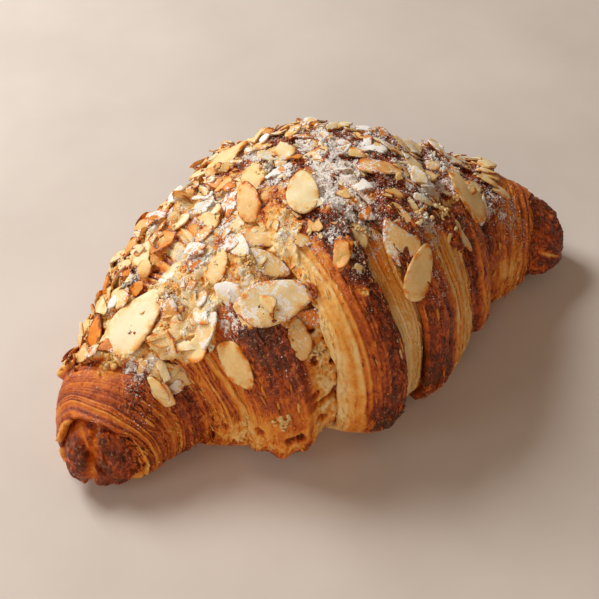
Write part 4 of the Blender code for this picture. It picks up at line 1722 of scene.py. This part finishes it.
@dataclass(frozen=True)
class PastryFinish:
    """Baked dough: pale where layers are torn or cut, dark and glossy where the crust is done."""

    stops: Stops = (
        (0.00, from_screen(252, 224, 170)),
        (0.16, from_screen(247, 198, 118)),
        (0.32, from_screen(240, 162, 62)),
        (0.46, from_screen(224, 122, 28)),
        (0.60, from_screen(190, 82, 14)),
        (0.76, from_screen(138, 46, 7)),
        (0.90, from_screen(98, 35, 10)),
        (1.00, from_screen(76, 31, 16)),
    )
    sugar: Colour = from_screen(250, 240, 229)
    # Pale flecks on the well-baked crust: light flaky bits, and painted glints of its gloss.
    fleck_and_glint: Colour = from_screen(228, 158, 104)
    shine: Colour = (1.0, 0.80, 0.58)
    glow: Colour = (1.0, 0.42, 0.14)
    glow_depth: float = 2.0 * MM
    relief_mm: float = 0.42

    def material(self) -> bpy.types.Material:
        """Build the material: colour and gloss from the baking and painted shade stored on the points."""
        board = Board("baked_pastry")
        # The stored baking also holds painted shade: darker holes, hollows, sheet steps and the shaded
        # foot.
        baked = board.attribute("bake")
        uneven = board.times(board.sway(1.3, 4.0, 0.65), 0.30)
        uneven = board.plus(uneven, board.sway(0.45, 2.0, 0.6), 0.26)
        crumbly = board.ranged(board.noise(1.1, 4.0, 0.75), (0.34, 0.66), (0.16, -0.20))
        uneven = board.plus(uneven, crumbly, board.attribute("cream"))
        bake = board.plus(baked, uneven, board.ranged(baked, (0.1, 0.7), (0.45, 1.0)))
        patchy = board.ranged(board.noise(6.0, 2.0), (0.40, 0.60), (0.35, 1.0))
        done = board.times(board.ranged(bake, (0.45, 0.66)), patchy)
        # Pale flecks on the well-baked crust: light flaky bits, and painted glints of its gloss.
        fleck_and_glint = board.ranged(board.noise(0.8, 3.0, 0.75), (0.56, 0.65), (0.0, 0.58))
        colour = board.mix(board.times(fleck_and_glint, done), board.ramp(bake, self.stops), self.fleck_and_glint)
        colour, share = board.sugared(colour, board.attribute("dust"), self.sugar)
        gloss = board.ranged(bake, (0.35, 0.85), (0.48, 0.22))
        board.shade({
            "Base Color": colour,
            "Roughness": board.math("MAXIMUM", gloss, board.times(share, 0.9)),
            "Specular IOR Level": 0.4,
            "Specular Tint": (*self.shine, 1.0),
            "Coat Weight": 0.24,
            "Coat Roughness": 0.16,
            "Subsurface Weight": 0.14,
            "Subsurface Radius": self.glow,
            "Subsurface Scale": self.glow_depth,
        })
        board.bump(board.plus(board.noise(0.9, 4.0, 0.75), share, 0.5), self.relief_mm)
        return board.material


@dataclass(frozen=True)
class AlmondFinish:
    """Almond slices: ivory to toasted flesh, finely streaked, with a thread of brown skin."""

    stops: Stops = (
        (0.00, from_screen(247, 226, 186)),
        (0.30, from_screen(246, 208, 142)),
        (0.55, from_screen(234, 180, 104)),
        (0.78, from_screen(233, 132, 20)),
        (1.00, from_screen(150, 74, 28)),
    )
    skin: Colour = from_screen(140, 78, 38)
    sugar: Colour = from_screen(247, 241, 233)
    glow: Colour = (1.0, 0.6, 0.3)
    glow_depth: float = 1.2 * MM
    relief_mm: float = 0.16

    def material(self) -> bpy.types.Material:
        """Build the material: flesh by tone, skin at the rim, sugar where it fell."""
        board = Board("almond")
        tone = board.plus(board.attribute("tone"), board.sway(3.0), 0.35)
        tone = board.plus(tone, board.sway(0.8), 0.32)
        toasted = board.ranged(board.attribute("rim"), (0.55, 1.0), (0.0, 0.55))
        tone = board.plus(tone, toasted, board.ranged(board.noise(3.0, 2.0), (0.38, 0.64)))
        edge = board.ranged(board.attribute("rim"), (0.955, 0.985))
        patchy = board.ranged(board.noise(2.0, 2.0), (0.42, 0.60), (0.0, 0.55))
        colour = board.mix(board.times(edge, patchy), board.ramp(tone, self.stops), self.skin)
        patch = board.ranged(board.noise(4.5, 2.0), (0.40, 0.62), (0.35, 1.25))
        dust = board.times(board.attribute("dust"), patch)
        colour, share = board.sugared(colour, dust, self.sugar)
        board.shade({
            "Base Color": colour,
            "Roughness": board.ranged(share, (0.0, 1.0), (0.48, 0.9)),
            "Specular IOR Level": 0.3,
            "Subsurface Weight": 0.25,
            "Subsurface Radius": self.glow,
            "Subsurface Scale": self.glow_depth,
        })
        board.bump(board.noise(0.6, 3.0, 0.65), self.relief_mm, 0.8)
        return board.material


@dataclass(frozen=True)
class SugarFinish:
    """Icing sugar: soft white, rough, a little light passing through."""

    sugar: Colour = from_screen(249, 244, 237)
    shade: Colour = from_screen(234, 222, 210)
    glow: Colour = (1.0, 0.95, 0.9)
    glow_depth: float = 0.4 * MM
    relief_mm: float = 0.06

    def material(self) -> bpy.types.Material:
        """Build the material."""
        board = Board("icing_sugar")
        mottled = board.ranged(board.noise(0.8, 2.0), (0.35, 0.65))
        board.shade({
            "Base Color": board.mix(mottled, self.shade, self.sugar),
            "Roughness": 0.85,
            "Subsurface Weight": 0.15,
            "Subsurface Radius": self.glow,
            "Subsurface Scale": self.glow_depth,
        })
        board.bump(board.noise(0.3, 2.0), self.relief_mm, 0.5)
        return board.material


@dataclass(frozen=True)
class FloorFinish:
    """Pale plaster-like table top, faintly mottled."""

    stops: Stops = (
        (0.30, from_screen(205, 191, 179)),
        (0.70, from_screen(215, 202, 190)),
    )
    relief_mm: float = 0.05

    def material(self) -> bpy.types.Material:
        """Build the material."""
        board = Board("pale_table")
        colour = board.ramp(board.noise(60.0, 4.0, 0.55), self.stops)
        board.shade({"Base Color": colour, "Roughness": 0.8})
        board.bump(board.noise(3.0, 4.0, 0.6), self.relief_mm, 0.3)
        return board.material


# ----- Studio -----

@dataclass(frozen=True)
class Light:
    """A square soft light: where it stands and its width in metres, its watts and its tint."""

    name: str
    place: Triple
    size: float
    power: float
    colour: Colour

    def add(self) -> None:
        """Place the light so that it faces the croissant."""
        data = bpy.data.lights.new(self.name, "AREA")
        data.size = self.size
        data.energy = self.power
        data.color = self.colour
        made = linked(self.name, data)
        made.location = self.place
        made.rotation_euler = (-Vector(self.place)).to_track_quat("-Z", "Y").to_euler()


@dataclass(frozen=True)
class Studio:
    """Table, soft light and camera."""

    azimuth: float = -27.4
    elevation: float = 46.0
    distance: float = 0.345
    lens: float = 70.0
    target: Triple = (-0.007, -0.005, 0.0213)
    nearest_seen: float = 0.01
    table_size: float = 3.0
    lights: tuple[Light, ...] = (
        Light("key", (-0.23, 0.44, 0.52), 0.31, 5.0, (0.94, 0.985, 1.0)),
        Light("side", (-0.36, -0.02, 0.20), 0.14, 0.18, (0.92, 0.97, 1.0)),
        Light("fill", (-0.46, -0.60, 0.36), 0.5, 1.8, (1.0, 0.82, 0.66)),
    )
    sky: Colour = (1.0, 0.74, 0.56)
    sky_strength: float = 0.20

    def back(self) -> Vector:
        """Direction from the target to the camera."""
        turn, rise = math.radians(self.azimuth), math.radians(self.elevation)
        flat = math.cos(rise)
        return Vector((math.sin(turn) * flat, -math.cos(turn) * flat, math.sin(rise)))

    def add_camera(self) -> None:
        """Place the camera and make it the scene's camera."""
        data = bpy.data.cameras.new("camera")
        data.lens = self.lens
        data.clip_start = self.nearest_seen
        made = linked("camera", data)
        made.location = Vector(self.target) + self.back() * self.distance
        made.rotation_euler = (-self.back()).to_track_quat("-Z", "Y").to_euler()
        bpy.context.scene.camera = made

    def add_table(self) -> None:
        """Lay the table top under the croissant."""
        half = self.table_size / 2.0 / MM
        uv = np.array([(0.0, 0.0), (1.0, 0.0), (1.0, 1.0), (0.0, 1.0)])
        corners = np.column_stack([(2.0 * uv - 1.0) * half, np.zeros(4)])
        table = Shape(corners, [np.array([[0, 1, 2, 3]])], uv).to_object("table_top")
        table.data.materials.append(FloorFinish().material())

    def set_sky(self) -> None:
        """Even light from all round, and a plain display of colours."""
        world = bpy.data.worlds.new("room")
        world.use_nodes = True
        shade = world.node_tree.nodes["Background"]
        shade.inputs["Color"].default_value = (*self.sky, 1.0)
        shade.inputs["Strength"].default_value = self.sky_strength
        bpy.context.scene.world = world
        bpy.context.scene.view_settings.view_transform = "Standard"

    def build(self) -> None:
        """Set up everything that isn't the croissant."""
        self.add_camera()
        self.add_table()
        for light in self.lights:
            light.add()
        self.set_sky()


# ----- The croissant -----

@dataclass
class Croissant:
    """The whole croissant: wraps, slices, crumbs, flakes and sugar."""

    crust: Crust = field(default_factory=lambda: Crust(Roll()))
    slices: Slices = Slices()
    crumbs: Crumbs = Crumbs()
    shards: Shards = Shards()
    sugar: Sugar = Sugar()

    def finish_piece(self, piece: bpy.types.Object, material: bpy.types.Material) -> None:
        """Dress a piece and tie it to the solid that it stands for.

        Args:
            piece: the new piece.
            material: its finish.
        """
        piece.data.materials.append(material)
        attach(piece, BODY)
        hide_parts(NODE)
        LOG.info("%s: %d faces", piece.name, len(piece.data.polygons))

    def build(self) -> None:
        """Make every piece in order."""
        pastry = PastryFinish().material()
        almond = AlmondFinish().material()
        sugar = SugarFinish().material()
        of_dough = [wrap.build for wrap in WRAPS] + [self.crumbs.build, self.shards.build]
        of_almond = [self.slices.build, self.slices.build_petals, self.slices.build_fragments]
        for makers, material, slot in (
            (of_dough, pastry, "baked_pastry"),
            (of_almond, almond, "almond"),
            ([self.sugar.build], sugar, "icing_sugar"),
        ):
            for make in makers:
                self.finish_piece(make(self.crust), material)


def main() -> None:
    """Build the croissant and its studio."""
    logging.basicConfig(level=logging.INFO, format="%(name)s: %(message)s")
    Croissant().build()
    Studio().build()


if __name__ == "__main__":
    main()
